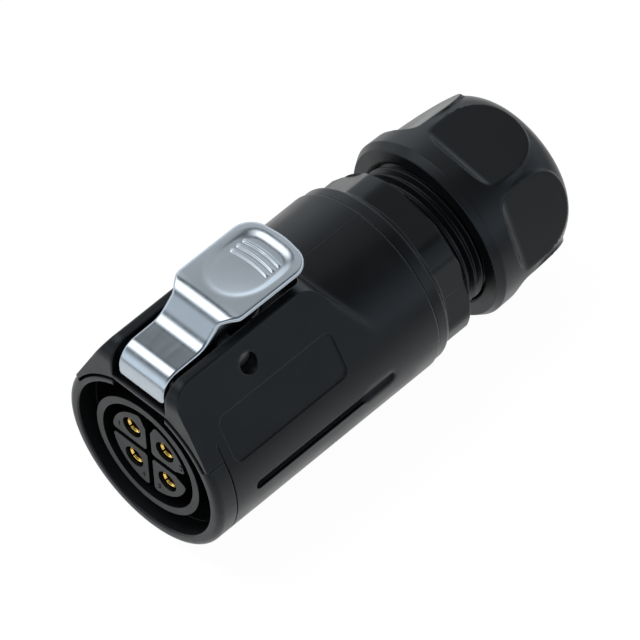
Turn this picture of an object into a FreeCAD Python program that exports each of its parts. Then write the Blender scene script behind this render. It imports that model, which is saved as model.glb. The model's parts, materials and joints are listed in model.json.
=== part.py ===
import FreeCAD, Part
import math
import os

from FreeCAD import Vector

# Circular cable plug with a push latch, lying on its side with the latch up.
# The frame's origin is the centre of the mating face. The plug's axis is Y:
# -Y faces the mating socket, +Y is the cable end and +Z points through the latch.
# "Station" means a distance along Y. Angles about the axis start at +Z and turn towards +X.
# All sizes are millimetres.

# Clearances
RUNNING = 0.06
SEATING = 0.05
LOOSE = 0.3

# Front collar and mating opening
SHELL_RADIUS = 15.0
COLLAR_WALL = 2.0
OPENING_RADIUS = SHELL_RADIUS - COLLAR_WALL
COLLAR_LENGTH = 3.4
COLLAR_EDGE_ROUNDING = 1.1
SLEEVE_WALL = 0.8
SLEEVE_RADIUS = OPENING_RADIUS + SLEEVE_WALL
SLEEVE_END = 9.6
CROWN_HALF_ANGLE = 60.0
CROWN_RIM_DEPTH = 1.1
CROWN_RIM_RADIUS = SHELL_RADIUS - CROWN_RIM_DEPTH
CROWN_RIM_GAP = 0.45

# Outer shell and its crown
SHELL_END = 43.6
SHELL_END_BEVEL = 0.35
WEB_END = 16.8
REAR_WALL = 2.2
REAR_BORE_RADIUS = SHELL_RADIUS - REAR_WALL
CREST_HALF_WIDTH = 6.7
CROWN_RISE = 4.5
CREST_HEIGHT = SHELL_RADIUS + CROWN_RISE
CREST_FRONT = 0.15
CREST_FRONT_RADIUS = 3.2
CREST_REAR = 26.9
CREST_REAR_SLOPE = 58.0
CREST_REAR_RADIUS = 5.0
CREST_EDGE_ROUNDING = 0.4
CHEEK_WALL = 1.45
SLOT_HALF_WIDTH = CREST_HALF_WIDTH - CHEEK_WALL
SLOT_DEPTH = 4.6
SLOT_FLOOR = CREST_HEIGHT - SLOT_DEPTH
SLOT_REAR = 27.6
SLOT_CORNER_RADIUS = 2.5
NOTCH_STEP = 0.15
NOTCH_HALF_WIDTH = SLOT_HALF_WIDTH - NOTCH_STEP
NOTCH_END = 8.0
BRIDGE_DROP = 0.9
BRIDGE_THICKNESS = 0.6
BRIDGE_TOP = SLOT_FLOOR - BRIDGE_DROP
BRIDGE_UNDERSIDE = BRIDGE_TOP - BRIDGE_THICKNESS
BRIDGE_END = 3.2
PANEL_FRONT = 5.0
PANEL_REAR = 27.0
PANEL_TOP_DROP = 2.3
PANEL_WIDTH = 6.9
PANEL_HIGH = SHELL_RADIUS - PANEL_TOP_DROP
PANEL_LOW = PANEL_HIGH - PANEL_WIDTH
PANEL_DEPTH = 0.3
PANEL_CORNER_RADIUS = 1.3
GROOVE_FRONT = 7.2
GROOVE_REAR = 34.5
GROOVE_WIDTH = 1.8
GROOVE_DEPTH = 0.6

# Latch lever, as stations and heights of its top surface
LATCH_TIP_STATION = 0.65
LATCH_TIP_GAP = 0.65
LATCH_TIP_LOW = BRIDGE_TOP + LATCH_TIP_GAP
NECK_PROUD = 0.3
LATCH_NECK_HEIGHT = CREST_HEIGHT + NECK_PROUD
LATCH_BEND_RADIUS = 3.4
LATCH_SLOPE_START = 8.76
LATCH_SLOPE_ANGLE = 42.0
LATCH_S_RADIUS = 3.8
PAD_RISE = 3.4
PAD_HEIGHT = LATCH_NECK_HEIGHT + PAD_RISE
PAD_INSET = 0.4
PAD_HALF_WIDTH = CREST_HALF_WIDTH - PAD_INSET
PAD_FRONT = 14.3
PAD_FRONT_RADIUS = 2.6
PAD_SHOULDER = 28.25
PAD_SHOULDER_RADIUS = 3.5
PAD_REAR = 29.15
PAD_REAR_RADIUS = 11.0
DISH_STATION = 21.4
DISH_HALF_LENGTH = 6.6
DISH_HALF_WIDTH = 5.3
DISH_DEPTH = 0.45
LATCH_THICKNESS = 1.1
NECK_SIDE_GAP = 0.75
NECK_HALF_WIDTH = SLOT_HALF_WIDTH - NECK_SIDE_GAP
NECK_END = 11.6
NECK_FLARE_RADIUS = 2.0
TIP_CORNER_RADIUS = 0.9
TOOTH_FRONT = 4.4
TOOTH_LENGTH = 2.4
TOOTH_INSET = 0.9
TOOTH_HALF_WIDTH = NECK_HALF_WIDTH - TOOTH_INSET
TOOTH_REACH = 2.9
TOOTH_LOW = SLOT_FLOOR - TOOTH_REACH
TOOTH_RAMP = 1.2
LUG_INSET = 0.1
LUG_THICKNESS = 1.5
LUG_INNER = NECK_HALF_WIDTH - LUG_INSET - LUG_THICKNESS
LUG_RADIUS = 2.6
STOP_GAP = 0.6
STOP_POST_RADIUS = 1.2
STOP_POST_LOW = SLOT_FLOOR + STOP_GAP

# Latch pivot and spring
PIVOT_STATION = 13.3
PIVOT_RISE = 1.25
PIVOT_HEIGHT = SLOT_FLOOR + PIVOT_RISE
PIVOT_HOLE_RADIUS = 1.53
PIVOT_PIN_RADIUS = 1.5
PIVOT_PIN_OVERHANG = 0.6
PIVOT_PIN_HALF_LENGTH = CREST_HALF_WIDTH + PIVOT_PIN_OVERHANG
SPRING_STATION = 20.0
SPRING_COIL_RADIUS = 2.35
SPRING_WIRE_RADIUS = 0.28
SPRING_TURNS = 5
SPRING_POCKET_DEPTH = 0.6

# Contact insert. What is in it keeps its share of the insert's radius.
MATING_GAP = 2.92
INSERT_RADIUS = OPENING_RADIUS - MATING_GAP
INSERT_STEP = INSERT_RADIUS / 10.08
INSERT_RING_INNER = 8.85 * INSERT_STEP
INSERT_RING_FRONT = 0.8
INSERT_BASE_FRONT = 8.2
FLANGE_CLEARANCE = 0.3
INSERT_FLANGE_RADIUS = REAR_BORE_RADIUS - FLANGE_CLEARANCE
INSERT_FLANGE_THICKNESS = 2.0
TOWER_FRONT = 1.15
TOWER_RADIUS = 7.2 * INSERT_STEP
TOWER_CORNER_RADIUS = 0.6 * INSERT_STEP
CROSS_WIDTH = 1.0 * INSERT_STEP
KEYWAY_DEPTH = 2.0 * INSERT_STEP
KEYWAY_NARROW = 1.2 * INSERT_STEP
KEYWAY_WIDE = 3.6 * INSERT_STEP
CONTACT_OFFSET = 3.25 * INSERT_STEP
TOWER_HOLE_RADIUS = 1.75 * INSERT_STEP
WEB_CLEARANCE = 0.12

# Contacts and their screws
CONTACT_FRONT = 1.65
SOCKET_RADIUS = 1.42 * INSERT_STEP
SOCKET_BORE_RADIUS = 1.08 * INSERT_STEP
SOCKET_BORE_DEPTH = 7.5
SOCKET_SLIT_WIDTH = 0.25
SOCKET_SLIT_DEPTH = 5.0
CONTACT_SHANK_RADIUS = 1.45 * INSERT_STEP
CONTACT_COLLAR_RADIUS = 2.1 * INSERT_STEP
CONTACT_COLLAR_LENGTH = 1.4
BARREL_RADIUS = 1.9 * INSERT_STEP
BARREL_END = 31.0
BARREL_BORE_RADIUS = 1.25 * INSERT_STEP
BARREL_BORE_DEPTH = 6.4
SCREW_SETBACK = 3.0
SCREW_STATION = BARREL_END - SCREW_SETBACK
SCREW_SHANK_RADIUS = 0.8
SCREW_HEAD_RADIUS = 1.3
SCREW_HEAD_HEIGHT = 1.0
SCREW_SLOT_WIDTH = 0.35
SCREW_SLOT_DEPTH = 0.45

# Rear insert and its retaining ring
REAR_FLANGE_THICKNESS = 1.6
RING_WIDTH = 2.0
REAR_INSERT_RADIUS = REAR_BORE_RADIUS - RING_WIDTH
BARREL_PROUD = 6.5
REAR_INSERT_END = BARREL_END - BARREL_PROUD
BARRIER_THICKNESS = 1.0
BARRIER_SETBACK = 1.0
BARRIER_END = BARREL_END - BARRIER_SETBACK
BARRIER_HALF_WIDTH = 7.2 * INSERT_STEP
RING_END = 23.0
RING_SPANNER_WIDTH = 2.4
RING_SPANNER_DEPTH = 1.2

# Seals at the front
FACE_SEAL_THICKNESS = 1.4
INSERT_O_RING_STATION = 13.4
INSERT_O_RING_WIDTH = 1.1
INSERT_O_RING_GROOVE = 0.6

# Gland body
SPIGOT_LENGTH = 10.6
SPIGOT_START = SHELL_END - SPIGOT_LENGTH
SPIGOT_CLEARANCE = 0.1
SPIGOT_RADIUS = REAR_BORE_RADIUS - SPIGOT_CLEARANCE
GLAND_FLANGE_STEP = 0.25
GLAND_FLANGE_RADIUS = SHELL_RADIUS - GLAND_FLANGE_STEP
GLAND_FLANGE_THICKNESS = 2.2
GLAND_FLANGE_END = SHELL_END + GLAND_FLANGE_THICKNESS
GLAND_CONE_STEP = 0.35
GLAND_CONE_RADIUS = GLAND_FLANGE_RADIUS - GLAND_CONE_STEP
GLAND_CONE_LENGTH = 2.06
HEX_CORNER_STEP = 0.65
HEX_CORNER_RADIUS = GLAND_FLANGE_RADIUS - HEX_CORNER_STEP
HEX_FLAT_STEP = 1.75
HEX_FLAT_DISTANCE = GLAND_FLANGE_RADIUS - HEX_FLAT_STEP
HEX_CHAMFER = 0.6
HEX_TURN = 15.0
HEX_LENGTH = 5.4
HEX_END = GLAND_FLANGE_END + HEX_LENGTH
THREAD_STEP = 3.25
THREAD_RADIUS = GLAND_FLANGE_RADIUS - THREAD_STEP
THREAD_LENGTH = 14.8
THREAD_END = HEX_END + THREAD_LENGTH
THREAD_CHAMFER = 0.8
SEAL_BORE_WALL = 2.3
GLAND_SEAL_BORE_RADIUS = THREAD_RADIUS - SEAL_BORE_WALL
FRONT_BORE_WALL = 4.0
GLAND_FRONT_BORE_RADIUS = THREAD_RADIUS - FRONT_BORE_WALL
SEAL_BORE_DEPTH = 11.0
GLAND_SHOULDER = THREAD_END - SEAL_BORE_DEPTH
GLAND_O_RING_SETBACK = 2.4
GLAND_O_RING_STATION = SHELL_END - GLAND_O_RING_SETBACK
GLAND_O_RING_WIDTH = 1.6
GLAND_O_RING_GROOVE = 0.9

# Gland nut. Its radii are given as wall thickness over the thread's radius.
NUT_LENGTH = 18.65
NUT_OPEN_GAP = 4.55
NUT_FRONT = HEX_END + NUT_OPEN_GAP
NUT_END = NUT_FRONT + NUT_LENGTH
NUT_FACE_INNER_RADIUS = THREAD_RADIUS + 0.5
NUT_FACE_OUTER_RADIUS = THREAD_RADIUS + 2.6
NUT_FACE_BEVEL = 1.25
NUT_RIM_STATION = NUT_FRONT + NUT_FACE_BEVEL
NUT_RIM_RADIUS = THREAD_RADIUS + 3.35
NUT_DOME_LENGTH = 4.5
NUT_SHOULDER_STATION = NUT_END - NUT_DOME_LENGTH
NUT_SHOULDER_RADIUS = THREAD_RADIUS + 2.77
NUT_SHOULDER_ROUNDING = 1.5
NUT_END_RADIUS = THREAD_RADIUS - 0.8
NUT_END_ROUNDING = 3.0
NUT_CONE_LENGTH = 4.4
NUT_BORE_END = NUT_END - NUT_CONE_LENGTH
NUT_CONE_RADIUS = THREAD_RADIUS - 2.0
NUT_EXIT_RADIUS = THREAD_RADIUS - 4.1
NUT_LIP = 1.0
NUT_FLAT_DISTANCE = THREAD_RADIUS + 1.6
NUT_COLLAR_LENGTH = 6.35
NUT_FLAT_START = NUT_FRONT + NUT_COLLAR_LENGTH
NUT_FLAT_TILT = 2.0
NUT_FLAT_RUNOUT_RADIUS = 3.2
NUT_FLAT_COUNT = 6
NUT_TURN = 8.0

# Clamping claw and cable seal
CLAW_DEPTH = 4.5
CLAW_START = THREAD_END - CLAW_DEPTH
CLAW_RING_LENGTH = 5.0
CLAW_RING_END = CLAW_START + CLAW_RING_LENGTH
CLAW_SETBACK = 2.0
CLAW_END = NUT_END - CLAW_SETBACK
CLAW_WALL = 1.05
CLAW_FINGERS = 8
CLAW_SLOT_WIDTH = 0.9
SEAL_FOOT = 1.5
SEAL_START = CLAW_START - SEAL_FOOT
SEAL_SETBACK = 0.6
SEAL_END = CLAW_END - SEAL_SETBACK
SEAL_WALL = 4.0
CABLE_RADIUS = GLAND_SEAL_BORE_RADIUS - SEAL_WALL

# Stations and radii that follow from the sizes above
CHEEK_ANGLE = (
    math.degrees(math.atan2(CREST_HEIGHT, CREST_HALF_WIDTH))
    - math.degrees(math.acos(SHELL_RADIUS / math.hypot(CREST_HALF_WIDTH, CREST_HEIGHT)))
)
WEB_BORE_RADIUS = INSERT_RADIUS + WEB_CLEARANCE
FLANGE_REAR = WEB_END + INSERT_FLANGE_THICKNESS
REAR_FLANGE_END = FLANGE_REAR + REAR_FLANGE_THICKNESS
CLAW_RADIUS = GLAND_SEAL_BORE_RADIUS - RUNNING
NUT_BORE_RADIUS = THREAD_RADIUS + RUNNING
NUT_CONE_SLOPE = (NUT_CONE_RADIUS - NUT_EXIT_RADIUS - NUT_LIP) / (NUT_END - NUT_LIP - NUT_BORE_END)
PAD_SLOPE_END = LATCH_SLOPE_START + PAD_RISE / math.tan(math.radians(LATCH_SLOPE_ANGLE))
PIVOT_POCKET_FLOOR = PIVOT_HEIGHT - LUG_RADIUS - LOOSE

ORIGIN = Vector(0, 0, 0)
AXIS = Vector(0, 1, 0)
BEYOND = 100.0


def on_side(station, height):
    return Vector(0, station, height)


def on_front(across, height):
    return Vector(across, 0, height)


def on_plan(across, station):
    return Vector(across, station, 0)


def corner_arc(before, corner, after):
    """Start, middle and end of the arc that rounds a corner to its third value."""
    u, v, radius = corner
    back = Vector(before[0] - u, before[1] - v, 0).normalize()
    ahead = Vector(after[0] - u, after[1] - v, 0).normalize()
    point = Vector(u, v, 0)
    if radius == 0:
        return point, point, point
    half = back.getAngle(ahead) / 2
    reach = radius / math.tan(half)
    inward = (back + ahead).normalize()
    centre = point + inward * (radius / math.sin(half))
    return point + back * reach, centre - inward * radius, point + ahead * reach


def outline(corners, place):
    """Face inside corners given as (u, v, rounding radius), put in space by place."""
    arcs = []
    for index, corner in enumerate(corners):
        after = corners[(index + 1) % len(corners)]
        arcs.append(corner_arc(corners[index - 1], corner, after))
    edges = []
    for index, (start, middle, end) in enumerate(arcs):
        points = [place(p.x, p.y) for p in (start, middle, end)]
        if not start.isEqual(end, 1e-7):
            edges.append(Part.Arc(*points).toShape())
        following = arcs[(index + 1) % len(arcs)][0]
        if not end.isEqual(following, 1e-7):
            edges.append(Part.makeLine(points[2], place(following.x, following.y)))
    return Part.Face(Part.Wire(edges))


def turned(corners):
    """Solid of revolution about the plug's axis from (radius, station, rounding) corners."""
    return outline(corners, on_plan).revolve(ORIGIN, AXIS, 360)


def rod(radius, start, end):
    return Part.makeCylinder(radius, end - start, Vector(0, start, 0), AXIS)


def tube(inner, outer, start, end):
    return rod(outer, start, end).cut(rod(inner, start, end))


def block(left, right, front, rear, low, high):
    return Part.makeBox(right - left, rear - front, high - low, Vector(left, front, low))


def turn_about_axis(shape, angle):
    copy = shape.copy()
    copy.rotate(ORIGIN, AXIS, angle)
    return copy


def mirrored(shape):
    return shape.mirror(ORIGIN, Vector(1, 0, 0))


def side_prism(corners, half_width):
    """Solid with the given side view, as wide as twice half_width."""
    face = outline(corners, on_side)
    face.translate(Vector(-half_width, 0, 0))
    return face.extrude(Vector(2 * half_width, 0, 0))


def plan_prism(corners, low, high):
    face = outline(corners, on_plan)
    face.translate(Vector(0, 0, low))
    return face.extrude(Vector(0, 0, high - low))


def front_prism(corners, start, end):
    face = outline(corners, on_front)
    face.translate(Vector(0, start, 0))
    return face.extrude(Vector(0, end - start, 0))


def crown_sector(half_angle, start, end):
    """Wedge about +Z that holds everything within half_angle of the latch's direction."""
    reach = 2 * SHELL_RADIUS
    x = reach * math.sin(math.radians(half_angle))
    z = reach * math.cos(math.radians(half_angle))
    corners = [(0, 0, 0), (x, z, 0), (x, reach, 0), (-x, reach, 0), (-x, z, 0)]
    return front_prism(corners, start, end)


def front_collar():
    """Ring round the mating opening, with a thin sleeve that fills the shell's mouth."""
    ring = turned([
        (OPENING_RADIUS, 0, 0.3),
        (SHELL_RADIUS, 0, COLLAR_EDGE_ROUNDING),
        (SHELL_RADIUS, COLLAR_LENGTH, 0.15),
        (SLEEVE_RADIUS, COLLAR_LENGTH, 0),
        (SLEEVE_RADIUS, SLEEVE_END, 0.2),
        (OPENING_RADIUS, SLEEVE_END, 0.2),
    ])
    sector = crown_sector(CROWN_HALF_ANGLE, -1, COLLAR_LENGTH)
    ring = ring.cut(sector.cut(rod(CROWN_RIM_RADIUS, -1, COLLAR_LENGTH)))
    notch = block(-NOTCH_HALF_WIDTH, NOTCH_HALF_WIDTH, -1, NOTCH_END, 0, SHELL_RADIUS + 1)
    return ring.cut(notch)


def crown():
    """Raised part of the shell that carries the latch, before its slot is cut."""
    angle = math.radians(CHEEK_ANGLE)
    foot_x = SHELL_RADIUS * math.cos(angle)
    foot_z = SHELL_RADIUS * math.sin(angle)
    section = [
        (-foot_x, foot_z, 0),
        (-CREST_HALF_WIDTH, CREST_HEIGHT, CREST_EDGE_ROUNDING),
        (CREST_HALF_WIDTH, CREST_HEIGHT, CREST_EDGE_ROUNDING),
        (foot_x, foot_z, 0),
    ]
    rear_foot = CREST_REAR + CREST_HEIGHT / math.tan(math.radians(CREST_REAR_SLOPE))
    side = [
        (CREST_FRONT, 0, 0),
        (CREST_FRONT, CREST_HEIGHT, CREST_FRONT_RADIUS),
        (CREST_REAR, CREST_HEIGHT, CREST_REAR_RADIUS),
        (rear_foot, 0, 0),
    ]
    raised = front_prism(section, CREST_FRONT, rear_foot).common(side_prism(side, SHELL_RADIUS))
    front = raised.common(crown_sector(CROWN_HALF_ANGLE - 0.3, -1, COLLAR_LENGTH))
    front = front.cut(rod(CROWN_RIM_RADIUS + CROWN_RIM_GAP, -1, COLLAR_LENGTH))
    rear = raised.cut(block(-BEYOND, BEYOND, -1, COLLAR_LENGTH, -1, BEYOND))
    return front.fuse(rear)


def latch_slot():
    """Everything that is cut from the crown to let the latch in and move."""
    slot = plan_prism([
        (-SLOT_HALF_WIDTH, -1, 0),
        (-SLOT_HALF_WIDTH, SLOT_REAR, SLOT_CORNER_RADIUS),
        (SLOT_HALF_WIDTH, SLOT_REAR, SLOT_CORNER_RADIUS),
        (SLOT_HALF_WIDTH, -1, 0),
    ], SLOT_FLOOR, CREST_HEIGHT + 1)
    mouth = block(-SLOT_HALF_WIDTH, SLOT_HALF_WIDTH, -1, COLLAR_LENGTH, BRIDGE_TOP, CREST_HEIGHT)
    tooth_rear = TOOTH_FRONT + TOOTH_LENGTH
    window = block(
        -TOOTH_HALF_WIDTH - LOOSE, TOOTH_HALF_WIDTH + LOOSE,
        BRIDGE_END, tooth_rear + LOOSE, OPENING_RADIUS - 2, SLOT_FLOOR + 1,
    )
    pocket_front = PIVOT_STATION - LUG_RADIUS - LOOSE
    pocket_rear = PIVOT_STATION + LUG_RADIUS + LOOSE
    pocket = block(
        -SLOT_HALF_WIDTH, SLOT_HALF_WIDTH, pocket_front, pocket_rear,
        PIVOT_POCKET_FLOOR, SLOT_FLOOR + 1,
    )
    pin_hole = Part.makeCylinder(
        PIVOT_HOLE_RADIUS, 2 * SHELL_RADIUS,
        Vector(-SHELL_RADIUS, PIVOT_STATION, PIVOT_HEIGHT), Vector(1, 0, 0),
    )
    spring_pocket = Part.makeCylinder(
        SPRING_COIL_RADIUS + SPRING_WIRE_RADIUS + LOOSE, SPRING_POCKET_DEPTH + 1,
        Vector(0, SPRING_STATION, SLOT_FLOOR - SPRING_POCKET_DEPTH),
    )
    return slot.fuse([mouth, window, pocket, pin_hole, spring_pocket])


def side_panel():
    """Shallow sunk field on the +X side, its floor parallel to the shell's surface."""
    face = outline([
        (PANEL_FRONT, PANEL_LOW, PANEL_CORNER_RADIUS),
        (PANEL_REAR, PANEL_LOW, PANEL_CORNER_RADIUS),
        (PANEL_REAR, PANEL_HIGH, PANEL_CORNER_RADIUS),
        (PANEL_FRONT, PANEL_HIGH, PANEL_CORNER_RADIUS),
    ], on_side)
    field = face.extrude(Vector(2 * SHELL_RADIUS, 0, 0))
    angle = math.radians(CHEEK_ANGLE)
    inner = SHELL_RADIUS - PANEL_DEPTH
    foot_x = inner * math.cos(angle)
    foot_z = inner * math.sin(angle)
    slope = (CREST_HEIGHT - foot_z) * math.tan(angle)
    core = front_prism([
        (0, 0, 0),
        (foot_x, foot_z, 0),
        (foot_x - slope, CREST_HEIGHT, 0),
        (0, CREST_HEIGHT, 0),
    ], 0, SHELL_END)
    return field.cut(core.fuse(rod(inner, 0, SHELL_END)))


def side_groove():
    half = GROOVE_WIDTH / 2
    face = outline([
        (GROOVE_FRONT, -half, half * 0.99),
        (GROOVE_REAR, -half, half * 0.99),
        (GROOVE_REAR, half, half * 0.99),
        (GROOVE_FRONT, half, half * 0.99),
    ], on_side)
    face.translate(Vector(SHELL_RADIUS - GROOVE_DEPTH, 0, 0))
    return face.extrude(Vector(SHELL_RADIUS, 0, 0))


def outer_shell():
    barrel = turned([
        (0, COLLAR_LENGTH, 0),
        (SHELL_RADIUS, COLLAR_LENGTH, 0.15),
        (SHELL_RADIUS, SHELL_END, SHELL_END_BEVEL),
        (0, SHELL_END, 0),
    ])
    mouth = rod(SLEEVE_RADIUS + SEATING, -1, SLEEVE_END + SEATING)
    web_bore = rod(WEB_BORE_RADIUS, -1, WEB_END + 1)
    rear_bore = rod(REAR_BORE_RADIUS, WEB_END, SHELL_END + 1)
    marks = [side_panel(), side_groove()]
    marks += [mirrored(mark) for mark in marks]
    body = barrel.fuse(crown()).cut([mouth, web_bore, rear_bore, latch_slot()] + marks)
    bridge_half_width = SLOT_HALF_WIDTH + 0.5
    bridge = block(
        -bridge_half_width, bridge_half_width, CREST_FRONT, BRIDGE_END, BRIDGE_UNDERSIDE, BRIDGE_TOP
    )
    return body.fuse(bridge).removeSplitter()


def latch_path():
    """Top surface of the latch in side view, as (station, height, bend radius)."""
    return [
        (LATCH_TIP_STATION, LATCH_TIP_LOW, 0),
        (LATCH_TIP_STATION, LATCH_NECK_HEIGHT, LATCH_BEND_RADIUS),
        (LATCH_SLOPE_START, LATCH_NECK_HEIGHT, LATCH_S_RADIUS),
        (PAD_SLOPE_END, PAD_HEIGHT, LATCH_S_RADIUS),
        (PAD_REAR, PAD_HEIGHT, 0),
    ]


def beside(path, distance):
    """The same path, shifted to its right-hand side, with its bend radii to match."""
    points = [Vector(u, v, 0) for u, v, _ in path]
    ways = [(b - a).normalize() for a, b in zip(points, points[1:])]
    rights = [Vector(way.y, -way.x, 0) for way in ways]
    rights = [rights[0]] + rights + [rights[-1]]
    shifted = []
    for index, (point, before, after) in enumerate(zip(points, rights, rights[1:])):
        move = (before + after) * (distance / (1 + before.dot(after)))
        turns_right = before.cross(after).z < 0
        radius = path[index][2]
        if radius:
            radius += -distance if turns_right else distance
        shifted.append((point.x + move.x, point.y + move.y, radius))
    return shifted


def under_latch(distance, low):
    """Solid that fills the side view below a line at the given depth under the latch's top."""
    path = beside(latch_path(), distance)
    corners = path + [(path[-1][0], low, 0), (path[0][0], low, 0)]
    return side_prism(corners, SHELL_RADIUS)


def latch_plate():
    path = latch_path()
    band = side_prism(path + beside(path, LATCH_THICKNESS)[::-1], SHELL_RADIUS)
    plan = [
        (NECK_HALF_WIDTH, -1, 0),
        (NECK_HALF_WIDTH, NECK_END, NECK_FLARE_RADIUS),
        (PAD_HALF_WIDTH, PAD_FRONT, PAD_FRONT_RADIUS),
        (PAD_HALF_WIDTH, PAD_SHOULDER, PAD_SHOULDER_RADIUS),
    ]
    left_side = [(-x, y, radius) for x, y, radius in plan[::-1]]
    plan += [(0, PAD_REAR, PAD_REAR_RADIUS)] + left_side
    front = [
        (NECK_HALF_WIDTH, LATCH_TIP_LOW, TIP_CORNER_RADIUS),
        (NECK_HALF_WIDTH, PAD_HEIGHT + 1, 0),
        (-NECK_HALF_WIDTH, PAD_HEIGHT + 1, 0),
        (-NECK_HALF_WIDTH, LATCH_TIP_LOW, TIP_CORNER_RADIUS),
    ]
    tip = front_prism(front, -1, LATCH_BEND_RADIUS)
    behind = block(-BEYOND, BEYOND, LATCH_BEND_RADIUS, BEYOND, 0, BEYOND)
    return band.common(plan_prism(plan, LATCH_TIP_LOW - 1, PAD_HEIGHT + 1)).common(tip.fuse(behind))


def pad_dish():
    """Ball, drawn out along the latch, whose lowest part hollows the thumb pad."""
    ball_radius = (DISH_HALF_WIDTH ** 2 + DISH_DEPTH ** 2) / (2 * DISH_DEPTH)
    stretch = FreeCAD.Matrix()
    stretch.scale(1, DISH_HALF_LENGTH / DISH_HALF_WIDTH, 1)
    ball = Part.makeSphere(ball_radius).transformGeometry(stretch)
    ball.translate(Vector(0, DISH_STATION, PAD_HEIGHT + ball_radius - DISH_DEPTH))
    return ball


def latch_lever():
    """Latch: a bent plate with a thumb pad, two pivot lugs and a hook tooth."""
    plate = latch_plate()
    dish = pad_dish()
    below = under_latch(LATCH_THICKNESS / 2, TOOTH_LOW - 1)
    lug_view = [
        (PIVOT_STATION - LUG_RADIUS, PIVOT_HEIGHT, 0),
        (PIVOT_STATION - LUG_RADIUS - 1.5, PAD_HEIGHT, 0),
        (PIVOT_STATION + LUG_RADIUS + 2.5, PAD_HEIGHT, 0),
        (PIVOT_STATION + LUG_RADIUS, PIVOT_HEIGHT, 0),
    ]
    lug = outline(lug_view, on_side).extrude(Vector(LUG_THICKNESS, 0, 0))
    lug = lug.fuse(Part.makeCylinder(
        LUG_RADIUS, LUG_THICKNESS, on_side(PIVOT_STATION, PIVOT_HEIGHT), Vector(1, 0, 0)
    ))
    lug.translate(Vector(LUG_INNER, 0, 0))
    tooth_rear = TOOTH_FRONT + TOOTH_LENGTH
    tooth = side_prism([
        (TOOTH_FRONT + TOOTH_RAMP, TOOTH_LOW, 0.3),
        (TOOTH_FRONT, TOOTH_LOW + TOOTH_RAMP, 0.3),
        (TOOTH_FRONT, LATCH_NECK_HEIGHT, 0),
        (tooth_rear, LATCH_NECK_HEIGHT, 0),
        (tooth_rear, TOOTH_LOW, 0.3),
    ], TOOTH_HALF_WIDTH)
    post = Part.makeCylinder(
        STOP_POST_RADIUS, PAD_HEIGHT - LATCH_THICKNESS / 2 - STOP_POST_LOW,
        Vector(0, SPRING_STATION, STOP_POST_LOW),
    )
    webs = lug.fuse([mirrored(lug), tooth]).common(below)
    pin_hole = Part.makeCylinder(
        PIVOT_PIN_RADIUS + RUNNING, 2 * SHELL_RADIUS,
        Vector(-SHELL_RADIUS, PIVOT_STATION, PIVOT_HEIGHT), Vector(1, 0, 0),
    )
    return plate.cut(dish).fuse([webs, post]).cut(pin_hole).removeSplitter()


def latch_pivot_pin():
    length = 2 * PIVOT_PIN_HALF_LENGTH
    pin = Part.makeCylinder(
        PIVOT_PIN_RADIUS, length,
        Vector(-PIVOT_PIN_HALF_LENGTH, PIVOT_STATION, PIVOT_HEIGHT), Vector(1, 0, 0),
    )
    rims = [edge for edge in pin.Edges if edge.BoundBox.XLength < 1e-6]
    return pin.makeChamfer(0.25, rims)


def latch_spring():
    """Compression spring between the slot's floor and the underside of the thumb pad."""
    low = SLOT_FLOOR - SPRING_POCKET_DEPTH + SPRING_WIRE_RADIUS
    high = PAD_HEIGHT - LATCH_THICKNESS - SPRING_WIRE_RADIUS
    height = high - low
    helix = Part.makeHelix(height / SPRING_TURNS, height, SPRING_COIL_RADIUS)
    start = Vector(SPRING_COIL_RADIUS, 0, 0)
    section = Part.Wire(Part.makeCircle(SPRING_WIRE_RADIUS, start, Vector(0, 1, 0)))
    coil = Part.Wire(helix.Edges).makePipeShell([section], True, True)
    coil.translate(Vector(0, SPRING_STATION, low))
    return coil


def contact_places():
    """Centres of the four contacts on the front, with the angle of each about the axis."""
    for angle in (45, 135, 225, 315):
        turn = math.radians(angle)
        reach = CONTACT_OFFSET * math.sqrt(2)
        yield angle, Vector(reach * math.sin(turn), 0, reach * math.cos(turn))


def contact_holes(radius, start, end):
    holes = []
    for _, place in contact_places():
        holes.append(rod(radius, start, end).translated(place))
    return holes


def keyway():
    """Tapered channel in the towers' outer side, below the latch's direction."""
    low = TOWER_RADIUS - KEYWAY_DEPTH
    wide = KEYWAY_WIDE / 2
    narrow = KEYWAY_NARROW / 2
    return front_prism([
        (-narrow, low, 0.25),
        (narrow, low, 0.25),
        (wide, TOWER_RADIUS + 0.5, 0),
        (-wide, TOWER_RADIUS + 0.5, 0),
    ], 0, INSERT_BASE_FRONT)


def towers():
    """Four contact towers, parted by a cross slot and by two keyways."""
    column = rod(TOWER_RADIUS, TOWER_FRONT, INSERT_BASE_FRONT)
    half = CROSS_WIDTH / 2
    reach = TOWER_RADIUS + 1
    column = column.cut([
        block(-half, half, 0, INSERT_BASE_FRONT, -reach, reach),
        block(-reach, reach, 0, INSERT_BASE_FRONT, -half, half),
    ])
    column = column.cut([keyway(), turn_about_axis(keyway(), 90)])
    corners = []
    for edge in column.Edges:
        along = edge.BoundBox.YLength > 1
        upright = edge.BoundBox.XLength < 1e-6 and edge.BoundBox.ZLength < 1e-6
        radial = edge.CenterOfMass.cross(AXIS).Length
        near_key = radial < TOWER_RADIUS - 0.2 and radial > 2 * CROSS_WIDTH
        if along and upright and not near_key:
            corners.append(edge)
    return column.makeFillet(TOWER_CORNER_RADIUS, corners)


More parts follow.
